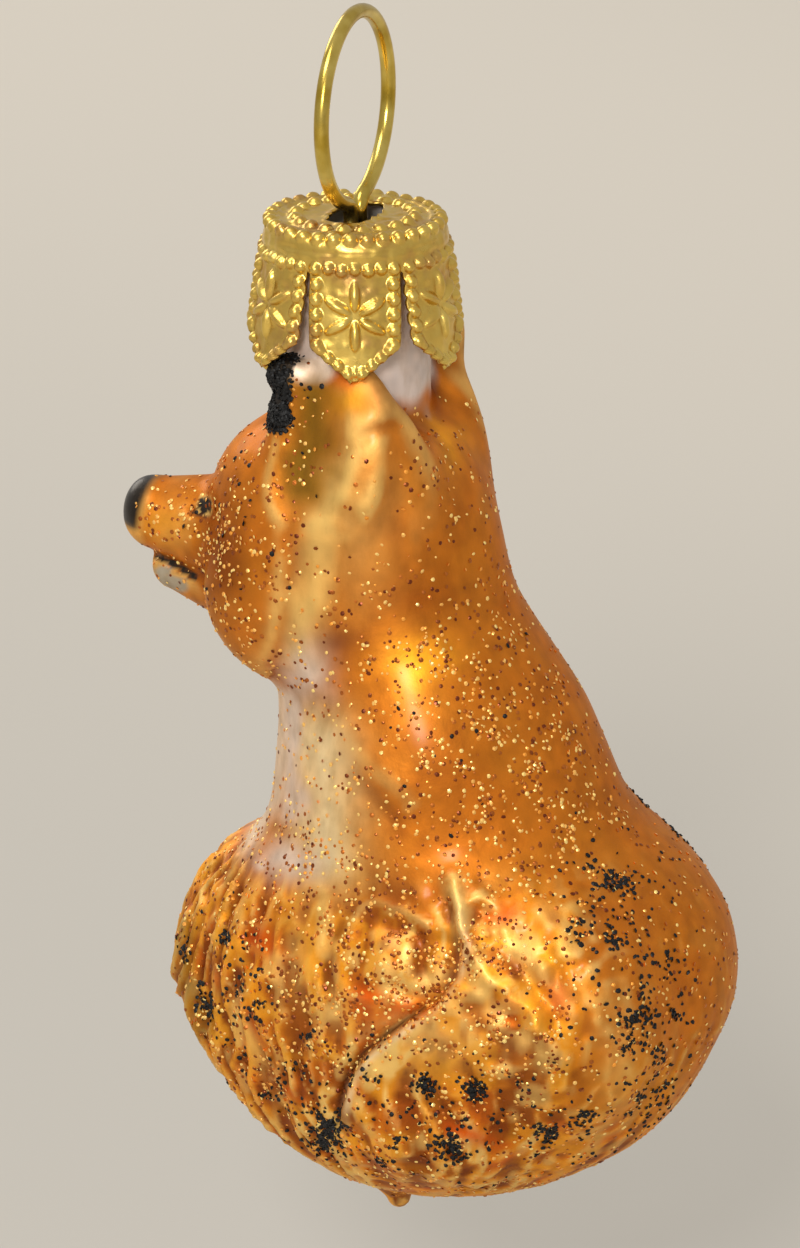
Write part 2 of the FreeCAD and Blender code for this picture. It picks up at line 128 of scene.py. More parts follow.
# Tapered forms: both ends, their radii, how wide across X, then centre, reach and blend
SNOUT_FORMS = [
    ((0, -5.6, 34.7), (0, -10.4, 35.2), 3.0, 1.85, 1.12, (0, -8, 35), 7, 0.9),
    ((0, -5.0, 31.9), (0, -9.5, 32.6), 2.5, 1.3, 1.1, (0, -7, 32.5), 6, 0.4),
]
PIP_FORMS = [((0, 2.29, 0.1), (0, 1.9, 3.8), 0.62, 3.5, 1.0, (0, 2.29, 1), 6, 1.2)]

# An ear leans out and back; its scoop is a second, smaller form on its outer face
EAR_PLACE, EAR_RADII, EAR_SQUARE, EAR_LEAN = (4.6, 0.1, 41.0), (1.3, 3.45, 4.7), 2.6, 14
SCOOP_OUT, SCOOP_DROP, SCOOP_RADII, SCOOP_SQUARE = 1.5, (0, 0.1, 0.3), (1.0, 2.45, 3.7), 2.4


def spaced(rows):
    """The rows with a smooth middle row put in after each."""
    rows = [tuple(row) for row in rows]
    ends = [rows[0]] + rows + [rows[-1]]
    result = []
    for before, start, stop, after in zip(ends, ends[1:], ends[2:], ends[3:]):
        middle = tuple(
            (9 * (b + c) - a - d) / 16 for a, b, c, d in zip(before, start, stop, after)
        )
        result += [start, middle]
    return result + [rows[-1]]


def smin(a, b, k):
    """The lesser of two distances, blended where they differ by under k."""
    h = np.clip(0.5 + 0.5 * (b - a) / k, 0, 1)
    return b + (a - b) * h - k * h * (1 - h)


def smax(a, b, k):
    return -smin(-a, -b, k)


def turn_matrix(yaw, pitch):
    """Turns about Z, then the turned Y, in degrees."""
    a, b = radians(yaw), radians(pitch)
    about_z = np.array([[cos(a), -sin(a), 0], [sin(a), cos(a), 0], [0, 0, 1]])
    about_y = np.array([[cos(b), 0, sin(b)], [0, 1, 0], [-sin(b), 0, cos(b)]])
    return about_z @ about_y


def seen_from(p, centre):
    return [p[i] - np.float32(centre[i]) for i in range(3)]


def ellipsoid(p, centre, radii):
    q = seen_from(p, centre)
    a = sum((q[i] / np.float32(radii[i])) ** 2 for i in range(3))
    b = sum((q[i] / np.float32(radii[i] ** 2)) ** 2 for i in range(3))
    k0 = np.sqrt(a)
    return k0 * (k0 - 1) / np.maximum(np.sqrt(b), 1e-4)


def lobe(p, centre, radii, turn, square):
    """An ellipsoid whose outline seen from the side is squarer than an oval."""
    t = turn.T.astype(np.float32)
    q = seen_from(p, centre)
    q = [t[i, 0] * q[0] + t[i, 1] * q[1] + t[i, 2] * q[2] for i in range(3)]
    disc = (np.abs(q[1] / radii[1]) ** square + np.abs(q[2] / radii[2]) ** square) ** (1 / square)
    k0 = np.sqrt((q[0] / radii[0]) ** 2 + disc ** 2)
    slope = np.sqrt((q[0] / radii[0] ** 2) ** 2 + (disc / min(radii[1:])) ** 2)
    return k0 * (k0 - 1) / np.maximum(slope, 1e-4)


def round_cone(p, start, stop, r0, r1, wide):
    """A capsule whose radius runs from r0 to r1, widened across X by a factor."""
    s, e = np.array(start, float), np.array(stop, float)
    axis = e - s
    q = seen_from(p, s)
    h = np.clip((q[0] * axis[0] + q[1] * axis[1] + q[2] * axis[2]) / (axis @ axis), 0, 1)
    d = np.sqrt(
        ((q[0] - axis[0] * h) / wide) ** 2 + (q[1] - axis[1] * h) ** 2 + (q[2] - axis[2] * h) ** 2
    )
    return d - (r0 + (r1 - r0) * h)


def from_axis(p):
    return np.sqrt(p[0] ** 2 + p[1] ** 2)


class Field:
    """A block of values on a grid; each form is worked out only near its own place."""

    def __init__(self, pitch):
        self.low, self.pitch = np.array(GRID_LOW, float), pitch
        self.counts = np.ceil((np.array(GRID_HIGH) - self.low) / pitch).astype(int) + 1
        self.axes = [
            (self.low[i] + pitch * np.arange(self.counts[i])).astype(np.float32) for i in range(3)
        ]
        self.values = np.full(self.counts, FAR_OUTSIDE, np.float32)

    def near(self, centre, reach):
        first = ((np.subtract(centre, reach) - self.low) / self.pitch).astype(int)
        last = ((np.add(centre, reach) - self.low) / self.pitch).astype(int) + 2
        return tuple(map(slice, np.maximum(first, 0), np.clip(last, 0, self.counts)))

    def add(self, form, centre=(0, 0, 0), reach=EVERYWHERE, k=1.0, cut=False):
        """Blends a form in, or cuts it out."""
        part = self.near(centre, reach)
        here = self.values[part]
        value = form(np.ix_(*(axis[near] for axis, near in zip(self.axes, part))))
        value = np.broadcast_to(value, here.shape).astype(np.float32)
        self.values[part] = smax(here, -value, k) if cut else smin(here, value, k)


def body_form(p):
    """The table's ovals, each a smooth curve of height, closed at the underside and skull."""
    rows = np.array(spaced(spaced(BODY_SHARES)))
    z = p[2].ravel()
    share = (z - UNDERSIDE) / (SKULL_TOP - UNDERSIDE)
    step_up = float(z[1] - z[0])
    reach = max(1, int(1.2 / step_up))
    kernel = np.exp(-(np.arange(-reach, reach + 1) * step_up / 0.5) ** 2)
    front, back, wide = (
        np.convolve(
            np.pad(np.interp(share, rows[:, 0], rows[:, i]), reach, "edge"),
            kernel / kernel.sum(), "valid",
        )
        for i in (1, 2, 3)
    )
    middle = (front + back) / 2 * BODY_LENGTH
    half_length = (back - front) / 2 * BODY_LENGTH
    half_width = wide * BODY_WIDTH / 2
    m, l, w = (v[None, None, :].astype(np.float32) for v in (middle, half_length, half_width))
    a = np.sqrt((p[0] / w) ** 2 + ((p[1] - m) / l) ** 2)
    b = np.sqrt((p[0] / w ** 2) ** 2 + ((p[1] - m) / l ** 2) ** 2)
    side = a * (a - 1) / np.maximum(b, 1e-4)
    return smax(smax(side, UNDERSIDE - p[2], UNDERSIDE_BLEND), p[2] - SKULL_TOP, SKULL_BLEND)


def tail_form(p):
    """The brush: an oval section that runs round the front of the body, drawn in below."""
    rows = np.array(spaced(spaced(TAIL_SHARES)))
    inward = TAIL_THICKNESS / 2 - TAIL_BULGE
    rx, ry = BODY_WIDTH / 2 - inward, BODY_LENGTH / 2 - inward
    y = p[1] - np.float32(TAIL_MIDDLE_SHARE * BODY_LENGTH)
    angle = np.degrees(np.arctan2(y / ry, p[0] / rx)) % 360
    ends = {"left": TAIL_END, "right": TAIL_END}
    up = np.interp(angle, rows[:, 0], rows[:, 1] * SKULL_TOP)
    high = np.interp(angle, rows[:, 0], rows[:, 2] * TAIL_HEIGHT / 2, **ends)
    thick = np.interp(angle, rows[:, 0], rows[:, 3] * TAIL_THICKNESS / 2, **ends)
    out = (np.sqrt((p[0] / rx) ** 2 + (y / ry) ** 2) - 1) * (rx + ry) / 2
    out = out + TAIL_TAPER * np.maximum(up + 0.8 - p[2], 0)
    a = np.sqrt((out / thick) ** 2 + ((p[2] - up) / high) ** 2)
    b = np.sqrt((out / thick ** 2) ** 2 + ((p[2] - up) / high ** 2) ** 2)
    return a * (a - 1) / np.maximum(b, 1e-3)


def add_rounded(field, forms):
    for centre, radii, blend, both in forms:
        for side in (1, -1) if both else (1,):
            place = (centre[0] * side, centre[1], centre[2])
            field.add(
                lambda p: ellipsoid(p, place, radii), place, max(radii) + FORM_REACH, blend
            )


def add_tapered(field, forms):
    for start, stop, r0, r1, wide, centre, reach, blend in forms:
        field.add(lambda p: round_cone(p, start, stop, r0, r1, wide), centre, reach, blend)


def add_ears(field):
    for side in (1, -1):
        turn = turn_matrix(-EAR_LEAN * side, -EAR_LEAN * side)
        out = turn @ np.array([side, 0.0, 0.0])
        base = np.array([EAR_PLACE[0] * side, EAR_PLACE[1], EAR_PLACE[2]])
        scoop = base + out * SCOOP_OUT - np.array(SCOOP_DROP)
        field.add(lambda p: lobe(p, base, EAR_RADII, turn, EAR_SQUARE), base, 8, 0.7)
        field.add(lambda p: lobe(p, scoop, SCOOP_RADII, turn, SCOOP_SQUARE), base, 8, 0.35, True)


def neck_form(p):
    return smax(from_axis(p) - NECK_RADIUS, np.abs(p[2] - NECK_MIDDLE) - NECK_HALF, NECK_EDGE)


def bore_form(p):
    bore_radius = NECK_RADIUS - NECK_WALL
    return np.maximum(from_axis(p) - bore_radius, np.abs(p[2] - BORE_MIDDLE) - BORE_HALF)


def sculpt(pitch):
    """The glass as a field, and the values of its outside alone."""
    field = Field(pitch)
    field.add(body_form)
    add_rounded(field, TRUNK_FORMS)
    field.add(tail_form, (0, 1, 11.5), (13, 14.5, 9.5), 0.9)
    add_rounded(field, KNEE_FORMS + CHEEK_FORMS)
    add_tapered(field, SNOUT_FORMS)
    add_rounded(field, NOSE_FORMS)
    add_ears(field)
    add_rounded(field, EAR_FORMS)
    add_tapered(field, PIP_FORMS)
    field.add(neck_form, (0, 0, 45), (6.5, 6.5, 9), 0.7)
    outside = field.values.copy()
    hollow = Field(pitch)
    hollow.add(lambda p: body_form(p) + BODY_WALL)
    hollow.add(bore_form, (0, 0, 45), (6, 6, 10), 0.8)
    field.values = smax(outside, -hollow.values, 0.1)
    return field, outside


# Meshes from fields

def crossings(f, where):
    """For each cell, the mean place where the surface cuts its edges."""
    values = np.stack([f[tuple((where + corner).T)] for corner in CORNERS], 1)
    total, count = np.zeros((len(where), 3)), np.zeros(len(where))
    for a, b in ((a, a + bit) for a in range(8) for bit in (1, 2, 4) if not a & bit):
        va, vb = values[:, a], values[:, b]
        cross = (va < 0) != (vb < 0)
        t = np.where(cross, va / np.where(cross, va - vb, 1), 0)[:, None]
        way = np.subtract(CORNERS[b], CORNERS[a])
        total += (np.array(CORNERS[a]) + way * t) * cross[:, None]
        count += cross
    return where + total / count[:, None]


def surface(field):
    """One vertex for each grid cell that the surface crosses, and quads between them."""
    inside = field.values < 0
    n = [s - 1 for s in inside.shape]
    count = sum(
        inside[i:i + n[0], j:j + n[1], k:k + n[2]].astype(np.int8) for i, j, k in CORNERS
    )
    active = (count > 0) & (count < 8)
    number = np.full(active.shape, -1, np.int64)
    where = np.argwhere(active)
    number[active] = np.arange(len(where))
    quads = []
    for axis in range(3):
        low = [slice(1, size) for size in n]
        low[axis] = slice(0, n[axis])
        high = list(low)
        high[axis] = slice(1, n[axis] + 1)
        a, b = inside[tuple(low)], inside[tuple(high)]
        at = np.argwhere(a != b)
        first = a[tuple(at.T)]
        step_u, step_v = np.eye(3, dtype=int)[[(axis + 1) % 3, (axis + 2) % 3]]
        at = at + step_u + step_v
        places = [at - i * step_u - j * step_v for i, j in ((1, 1), (0, 1), (0, 0), (1, 0))]
        quad = np.stack([number[tuple(place.T)] for place in places], 1)
        quad[~first] = quad[~first][:, ::-1]
        quads.append(quad)
    return field.low + field.pitch * crossings(field.values, where), np.concatenate(quads)


def normals_of(verts, quads):
    across = verts[quads[:, 2]] - verts[quads[:, 0]]
    along = verts[quads[:, 3]] - verts[quads[:, 1]]
    face = np.cross(across, along)
    total = np.zeros_like(verts)
    for i in range(4):
        np.add.at(total, quads[:, i], face)
    return total / np.maximum(np.linalg.norm(total, axis=1, keepdims=True), 1e-9)


def relax(verts, quads, rounds, amount=0.5):
    """Evens out the stair steps of the grid."""
    edges = np.concatenate([quads[:, [i, (i + 1) % 4]] for i in range(4)])
    for _ in range(rounds):
        total, count = np.zeros_like(verts), np.zeros(len(verts))
        for a, b in ((0, 1), (1, 0)):
            np.add.at(total, edges[:, a], verts[edges[:, b]])
            np.add.at(count, edges[:, a], 1)
        verts = verts + amount * (total / np.maximum(count, 1)[:, None] - verts)
    return verts


def corner_shares(f, corner):
    """How near each point lies to a corner of its cell, along each axis."""
    return [f[:, axis] if far else 1 - f[:, axis] for axis, far in enumerate(corner)]


def sampled(field, values, p):
    """The value and slope at points between the grid's own."""
    q = (p - field.low) / field.pitch
    base = np.clip(np.floor(q).astype(int), 0, field.counts - 2)
    value, slope = np.zeros(len(p)), np.zeros((len(p), 3))
    for corner in CORNERS:
        at = values[tuple((base + corner).T)]
        x, y, z = corner_shares(q - base, corner)
        value += at * x * y * z
        slope += at[:, None] * np.stack([y * z, x * z, x * y], 1) * (2 * np.array(corner) - 1)
    return value, slope / field.pitch


def settled(field, p, quads, rounds):
    """Spreads the points evenly and brings each one back onto the surface."""
    for _ in range(rounds):
        p = relax(p, quads, 2)
        for _ in range(2):
            value, slope = sampled(field, field.values, p)
            size = np.maximum(np.sum(slope ** 2, axis=1), 0.05)
            p = p - np.clip(value / size, -0.2, 0.2)[:, None] * slope
    return relax(p, quads, 1, 0.3)


def linked(name, data):
    item = bpy.data.objects.new(name, data)
    bpy.context.scene.collection.objects.link(item)
    return item


def mesh_object(name, verts, faces, smooth=True):
    """A mesh object from points in millimetres above the pip."""
    data = bpy.data.meshes.new(name)
    flat = np.asarray(verts, float).copy()
    flat[:, 2] += PIP_LEVEL
    data.from_pydata((flat * MM).tolist(), [], [list(map(int, face)) for face in faces])
    data.validate()
    data.polygons.foreach_set("use_smooth", [smooth] * len(data.polygons))
    return linked(name, data)


# Marks: where paint, relief and glitter lie, in the photograph's pixels

CHEEK_EDGE = [(284, 478), (286, 520), (291, 560), (289, 600), (282, 640), (274, 664)]
CHEEK_STREAK = [(358, 440), (340, 480), (326, 520), (316, 560), (304, 605), (298, 650)]
CHEST_CREASE = [(274, 666), (315, 712), (335, 756), (359, 782), (389, 810), (402, 832)]
CHEST_STREAK = [(314, 740), (326, 800), (330, 860)]
CHEST_LIGHT = [(318, 740), (326, 800), (324, 850)]
CHEST_FRONT = [(288, 700), (290, 760), (294, 815)]
FOOT_EDGE = [
    (450, 884), (455, 915), (461, 945), (456, 976), (438, 1002), (412, 1020), (388, 1037),
    (366, 1055), (350, 1078), (342, 1106), (340, 1140),
]
EAR_EDGE = [(297, 348), (286, 354), (278, 374), (276, 398), (278, 420)]
EAR_SCOOP = [(312, 392), (313, 440), (303, 482)]
EAR_LOBE = [(372, 378), (391, 400), (389, 424), (366, 436), (342, 452), (330, 482)]
EAR_FOLD = [(391, 428), (398, 470), (396, 520), (404, 572)]
EAR_TIP_SPOT = (310, 366, 32, 24, 12)
MOUTH = [(143, 549), (158, 557), (176, 565), (194, 577)]
EYE_FOLD, EYE_SLIT = [(190, 511), (208, 515)], [(192, 511), (207, 515)]
HAUNCH_RIDGE = [(452, 880), (462, 925), (478, 965), (520, 1010), (566, 1058)]
HAUNCH_FURROW = [(480, 905), (500, 950), (545, 1000)]
HAUNCH_TOP = [(452, 880), (462, 925), (476, 960)]
HAUNCH_LOW = [(480, 990), (510, 1020), (548, 1062)]
HAUNCH_BACK = [(500, 925), (540, 975), (575, 1010)]
BRUSH_SHADE = [(186, 930), (186, 980), (200, 1030)]
PAW_STREAK = [(388, 985), (420, 985), (440, 975)]
PAW_MIDDLE, PAW_HALF, PAW_RING_END = (394, 958), (36, 34), 430

# Each mark has a strength, or a height in millimetres, then a line and its half width, or a
# spot's middle, half width, half height and turn in degrees
RELIEF_MARKS = [
    (-0.22, MOUTH, 3.2), (-0.12, EYE_FOLD, 4), (-0.09, EAR_FOLD, 12), (-0.09, EAR_LOBE, 8),
    (0.10, 356, 400, 26, 30), (0.20, EAR_EDGE, 9), (-0.15, 345, 520, 22, 14, 40),
    (0.14, 372, 500, 16, 30, 20), (0.20, HAUNCH_RIDGE, 9), (-0.16, HAUNCH_FURROW, 9),
]
LUMP_MARKS = [(1, 520, 1000, 110, 130), (1, 480, 920, 70, 50)]
# Painted shade: darker colour laid in the creases, along the cheek's edge, in the ear's lobe and on
# shaded parts of head and body
PAINTED_SHADE_MARKS = [
    (1, 338, 640, 34, 24), (1, 400, 895, 46, 30), (1, 222, 560, 26, 70), (0.6, 420, 600, 60, 30),
    (0.55, 436, 770, 46, 70), (0.35, CHEEK_EDGE, 8), (0.6, CHEST_CREASE, 10),
    (0.5, EAR_LOBE[:4], 7),
]
# Painted highlights: bright spots where light catches the shoulder, the ear, the nape, the muzzle and
# the rump
PAINTED_HIGHLIGHT_MARKS = [
    (1, 418, 660, 40, 28), (0.4, 640, 1090, 60, 50), (0.9, 346, 398, 20, 24),
    (0.8, 450, 430, 16, 40), (0.6, 160, 525, 26, 22),
]
RED_MARKS = [(1, 336, 378, 26, 13), (0.7, 370, 406, 12, 22)]
CREAM_MARKS = [
    (1, CHEEK_STREAK, 20), (0.9, CHEST_STREAK, 38), (0.5, 350, 520, 52, 90),
    (0.5, 620, 1060, 20, 60),
]
BROKEN_MARKS = [(1, HAUNCH_TOP, 9), (1, HAUNCH_LOW, 12), (0.7, HAUNCH_BACK, 11)]
WHITE_MARKS = [
    (1, 306, 672, 26, 34), (1, CHEST_FRONT, 13), (1, 288, 862, 34, 22), (1, 264, 868, 9, 9),
]
OLIVE_MARKS = [(1, EAR_SCOOP, 24), (0.6, 330, 470, 18, 14)]
GREY_MARKS = [(1, 170, 581, 30, 13, 28), (1, 158, 566, 12, 8)]
# Red lacquer on the base; the two spots along the foot's edge are painted shade under its overhang
BASE_RED_MARKS = [
    (1, 402, 1012, 44, 15, -25), (1, 372, 1002, 26, 22), (1, 500, 915, 26, 14),
    (0.7, 560, 1000, 26, 30), (1, 470, 1135, 40, 10, 20), (1, 262, 940, 16, 22),
]
BASE_CREAM_MARKS = [
    (0.6, 420, 1040, 60, 30), (1, PAW_STREAK, 9), (0.5, 300, 960, 14, 40),
    (0.7, 340, 1010, 12, 22), (0.7, 250, 1040, 8, 50, -25),
]
GLITTER_MARKS = [
    (1, 240, 560, 62, 110), (1, 490, 750, 150, 170), (0.8, 180, 520, 50, 30),
    (0.8, 400, 640, 90, 70), (0.95, 400, 990, 260, 190), (0.35, 300, 440, 30, 60),
    (0.3, 450, 480, 60, 100),
]

# Where the black grains cluster: middle, half width, half height and weight
GRAIN_SPOTS = [
    (590, 855, 20, 16, 5), (618, 880, 26, 20, 5), (606, 930, 34, 26, 6), (660, 955, 34, 26, 2.5),
    (596, 978, 14, 20, 4), (636, 1018, 22, 14, 7), (640, 1050, 22, 20, 7), (668, 1010, 22, 40, 2),
    (625, 1085, 12, 8, 5), (515, 1085, 11, 8, 9), (478, 1090, 16, 11, 18), (577, 1116, 15, 12, 18),
    (548, 1130, 12, 16, 12), (448, 1150, 15, 16, 24), (326, 1128, 19, 24, 22), (425, 1086, 13, 12, 22),
    (365, 1082, 24, 10, 4), (402, 1140, 16, 12, 5), (385, 1160, 9, 7, 5), (308, 1031, 8, 10, 8),
    (254, 1010, 13, 13, 7), (225, 937, 10, 8, 9), (208, 1004, 14, 18, 6), (183, 946, 7, 14, 10),
    (267, 1095, 10, 8, 6), (240, 1000, 30, 70, 1.4), (300, 1090, 34, 50, 1.2),
    (620, 960, 60, 120, 1.4), (450, 1110, 170, 70, 0.8), (655, 1090, 40, 40, 1.5),
    (420, 740, 120, 100, 0.06), (300, 420, 30, 60, 0.4), (250, 520, 60, 80, 0.12),
]
GRAIN_SPREAD, GRAIN_WEIGHT, EAR_GRAINS = 1.2, 1.5, 40

LATTICE = rng.random((32, 32, 32))


def noise(p, size, shift=0.0):
    """Smooth value noise from 0 to 1 at a scale in millimetres."""
    q = np.asarray(p) / size + shift + 100.0
    base = np.floor(q).astype(int)
    f = q - base
    f = f * f * (3 - 2 * f)
    total = 0
    for corner in CORNERS:
        x, y, z = corner_shares(f, corner)
        total = total + x * y * z * LATTICE[tuple(((base + corner) % 32).T)]
    return total


def step(low, high, x):
    """Rises smoothly from 0 at low to 1 at high, which may be the lesser."""
    t = np.clip((x - low) / (high - low), 0, 1)
    return t * t * (3 - 2 * t)


def bell(x, width):
    return np.exp(-(x / width) ** 2)


def frame_place(p):
    """Where a point shows in the photograph, in pixels."""
    rel = p - CAMERA_TARGET
    near = CAMERA_AWAY / (CAMERA_AWAY - rel @ BACK)
    x, y = FRAME_MIDDLE
    return np.stack([x + rel @ RIGHT / PIXEL * near, y - rel @ UP / PIXEL * near], 1)


def along_path(q, path):
    """Distance to a line of points, the same with a sign (plus on the left), and share."""
    best, side, share = np.full(len(q), 1e9), np.ones(len(q)), np.zeros(len(q))
    for number, (a, b) in enumerate(zip(path, path[1:])):
        a, b = np.array(a, float), np.array(b, float)
        t = np.clip(((q - a) @ (b - a)) / ((b - a) @ (b - a)), 0, 1)
        d = np.linalg.norm(q - (a + t[:, None] * (b - a)), axis=1)
        cross = (b - a)[1] * (q - a)[:, 0] - (b - a)[0] * (q - a)[:, 1]
        closer = d < best
        best = np.where(closer, d, best)
        side = np.where(closer, np.sign(cross), side)
        share = np.where(closer, (number + t) / (len(path) - 1), share)
    return best, best * side, share


def line(q, path, width):
    return bell(along_path(q, path)[0], width)


def turned(x, y, degrees):
    a = radians(degrees)
    return x * cos(a) + y * sin(a), y * cos(a) - x * sin(a)


def blob(q, x, y, rx, ry, turn=0.0):
    u, v = turned(q[:, 0] - x, q[:, 1] - y, turn)
    return np.exp(-((u / rx) ** 2 + (v / ry) ** 2) * 1.4)


def most(*masks):
    result = masks[0]
    for mask in masks[1:]:
        result = np.maximum(result, mask)
    return result


def mark(q, strength, *shape):
    return strength * (blob(q, *shape) if len(shape) > 2 else line(q, *shape))


def marks(q, table):
    """The strongest of a table's marks at each place."""
    return most(*(mark(q, *row) for row in table))


class View:
    """Points seen from the camera's side, or mirrored so that the far side gets the same."""

    def __init__(self, p, n, flip):
        mirror = np.array([-1.0, 1.0, 1.0]) if flip else np.ones(3)
        self.p, self.n = p * mirror, n * mirror
        self.q = frame_place(self.p)
        self.faces = step(0.0, 0.25, self.n @ BACK) * step(-1.5, 0.5, self.p[:, 0])
        self.ears = step(2.0, 3.0, self.p[:, 0]) * step(37, 38, self.p[:, 2])


# Relief: how far the skin moves out, in millimetres

def fur(p):
    """Wandering crests that run down towards the pip: 1 on a crest, lower in the furrows."""
    bend = np.stack([noise(p, 2.6, 31.0), noise(p, 2.6, 37.0), noise(p, 3.0, 41.0)], 1) - 0.5
    way = np.stack([p[:, 0] / 0.78, p[:, 1] - 4.0], 1)
    way = way / np.maximum(np.linalg.norm(way, axis=1, keepdims=True), 2.0)
    q = np.concatenate([11 * way, 0.26 * p[:, 2:]], 1) + 1.3 * bend * [1, 1, 0.5]
    broad = 1 - np.abs(2 * noise(q, 1.15, 3.0) - 1)
    small = 1 - np.abs(2 * noise((p + bend) * [1, 1, 0.6], 0.7, 13.0) - 1)
    return 0.65 * broad + 0.35 * small


def side_relief(view):
    """The cheek's edge, the chest's crease, the small marks and the haunch's lumps."""
    q = view.q
    _, s, _ = along_path(q, CHEEK_EDGE)
    behind = np.maximum(-s, 0)
    ends = step(480, 560, q[:, 1]) * step(700, 670, q[:, 1])
    out = (0.18 * step(-14, 14, -s) * bell(behind, 45) - 0.12 * bell(s - 6, 12)) * ends
    d, s, share = along_path(q, CHEST_CREASE)
    ends = step(0.0, 0.1, share) * step(1.0, 0.85, share)
    out = out + 0.10 * ends * (bell(s - 20, 16) - bell(d, 12))
    for row in RELIEF_MARKS:
        out = out + mark(q, *row)
    lumps = 0.5 * noise(view.p * [1, 1, 0.6], 1.5, 3.3) + 0.5 * noise(view.p, 0.75, 6.3) - 0.5
    return out + 0.95 * marks(q, LUMP_MARKS) * lumps


def foot_relief(p, view):
    """The foot's raised edge and the paw, and where fur strokes stay off them."""
    q = view.q
    d, s, share = along_path(q, FOOT_EDGE)
    live = step(0.0, 0.08, share) * step(1.0, 0.9, share)
    sharp = 0.45 + 0.55 * step(0.25, 0.5, share)
    edge = 0.5 * step(-3, 4, s) * bell(np.maximum(s, 0), 60) - 0.38 * bell(s + 4, 6)
    r = np.hypot((q[:, 0] - PAW_MIDDLE[0]) / PAW_HALF[0], (q[:, 1] - PAW_MIDDLE[1]) / PAW_HALF[1])
    r = r + 0.9 * (noise(p, 1.4, 12.0) - 0.5)
    paw = 0.20 * np.maximum(0, 1 - r ** 2) - 0.14 * bell(r - 1.1, 0.22)
    paw = paw + 0.12 * bell(r - 1.5, 0.2) * (q[:, 0] < PAW_RING_END)
    kept = most(0.6 * step(-14, -8, s) * live, bell(d, 12) * live, step(1.25, 1.0, r))
    return live * sharp * edge + paw, kept


def relief(p, n):
    """All relief: folds, foot, paw and the fur strokes of brush, flank and rump."""
    out = 0.10 * (noise(p, 3.2) - 0.5)
    for flip, amount in ((False, 1.0), (True, 0.8)):
        view = View(p, n, flip)
        out = out + view.faces * amount * side_relief(view)
    near = View(p, n, False)
    foot, kept = foot_relief(p, near)
    x, y, z = p.T
    ridge = fur(p) - 0.74
    front = step(7.5, 2.0, y + 0.25 * x) * step(20.5, 17.0, z) * step(1.0, 3.5, z)
    rump = step(9, 14, y) * step(13.0, 9.0, z) * step(1.5, 4.0, z)
    flank = step(1.0, 4.0, z) * step(14, 9, z) * (1 - front) * (1 - rump)
    guard = (1 - near.faces * kept) * step(0.95, 0.6, np.abs(n[:, 2]))
    return out + near.faces * foot + ridge * (0.75 * front * guard + 0.16 * rump + 0.50 * flank)


# Paint: the lacquer's colour, how metallic it is and how rough

def lin(*srgb):
    """A linear colour from red, green and blue up to 255."""
    return np.array([
        (v / 255 / 12.92) if v <= 10 else ((v / 255 + 0.055) / 1.055) ** 2.4 for v in srgb
    ])


# DEEP and BRIGHT give painted shade and painted highlights as well as darker and lighter lacquer at
# random; CREAM also gives painted highlights on raised places
ORANGE, DEEP, BRIGHT = lin(210, 124, 30), lin(140, 66, 10), lin(255, 176, 38)
CREAM, WHITE, OLIVE = lin(246, 204, 118), lin(238, 220, 206), lin(148, 108, 24)
RED, BLACK, GREY, SILVER = lin(222, 92, 10), lin(16, 15, 17), lin(182, 176, 160), lin(226, 214, 208)
IVORY, EAR_WHITE, BIB_WHITE = lin(255, 232, 184), lin(250, 236, 222), lin(240, 222, 200)
# The foot edge's painted shade and painted highlight, and the mirror of the silvered inside
FOOT_EDGE_SHADE, FOOT_EDGE_HIGHLIGHT, MIRROR = lin(70, 28, 6), lin(255, 222, 168), lin(205, 205, 205)
EYE_ACROSS, EYE_UP, EYE_HALF = 2.25, 36.55, (0.78, 0.46)


def mixed(base, colour, amount):
    return base + (colour - base) * np.clip(amount, 0, 1)[:, None]


def base_coat(p, hollow, wobble):
    """Orange lacquer: painted shade in hollows, painted highlights on raised places, and on the base
    the fur's furrows and crests in painted shade and highlight.
    """
    c = np.tile(ORANGE, (len(p), 1))
    # Painted shade in the hollows, where the lacquer also pools, and darker patches at random
    c = mixed(c, DEEP, 0.8 * hollow + 0.25 * step(0.55, 0.9, wobble))
    # Painted highlight: paler on the raised places
    c = mixed(c, CREAM, 0.70 * step(0.12, 0.6, -hollow))
    rump_top = step(13.5, 16.5, p[:, 1]) * step(6.5, 9.5, p[:, 2])
    base = step(22, 16, p[:, 2]) * (1 - 0.9 * rump_top)
    crest = fur(p)
    c = mixed(c, BRIGHT, 0.55 * step(0.48, 0.72, noise(p, 1.3, 11.0)) * base)
    c = mixed(c, RED, 0.40 * step(0.60, 0.80, noise(p, 1.7, 17.0)) * base)
    # On the base the dark furrows and the bright and cream crests follow the fur's relief: painted
    # shade and painted highlights, with some dark flecks at random
    furrows = 0.7 * step(0.70, 0.54, crest) + 0.4 * step(0.62, 0.78, noise(p, 0.7, 27.0))
    c = mixed(c, DEEP, furrows * base)
    c = mixed(c, BRIGHT, 0.7 * step(0.72, 0.86, crest) * base)
    pale = step(0.36, 0.56, noise(p * [1, 1, 0.55], 2.0, 21.0)) * base * step(0.6, 2.4, p[:, 2])
    c = mixed(c, CREAM, 0.95 * pale * step(0.79, 0.88, crest))
    return mixed(c, CREAM, 0.55 * base * step(0.62, 0.8, noise(p * [1, 1, 0.6], 0.9, 25.0)))


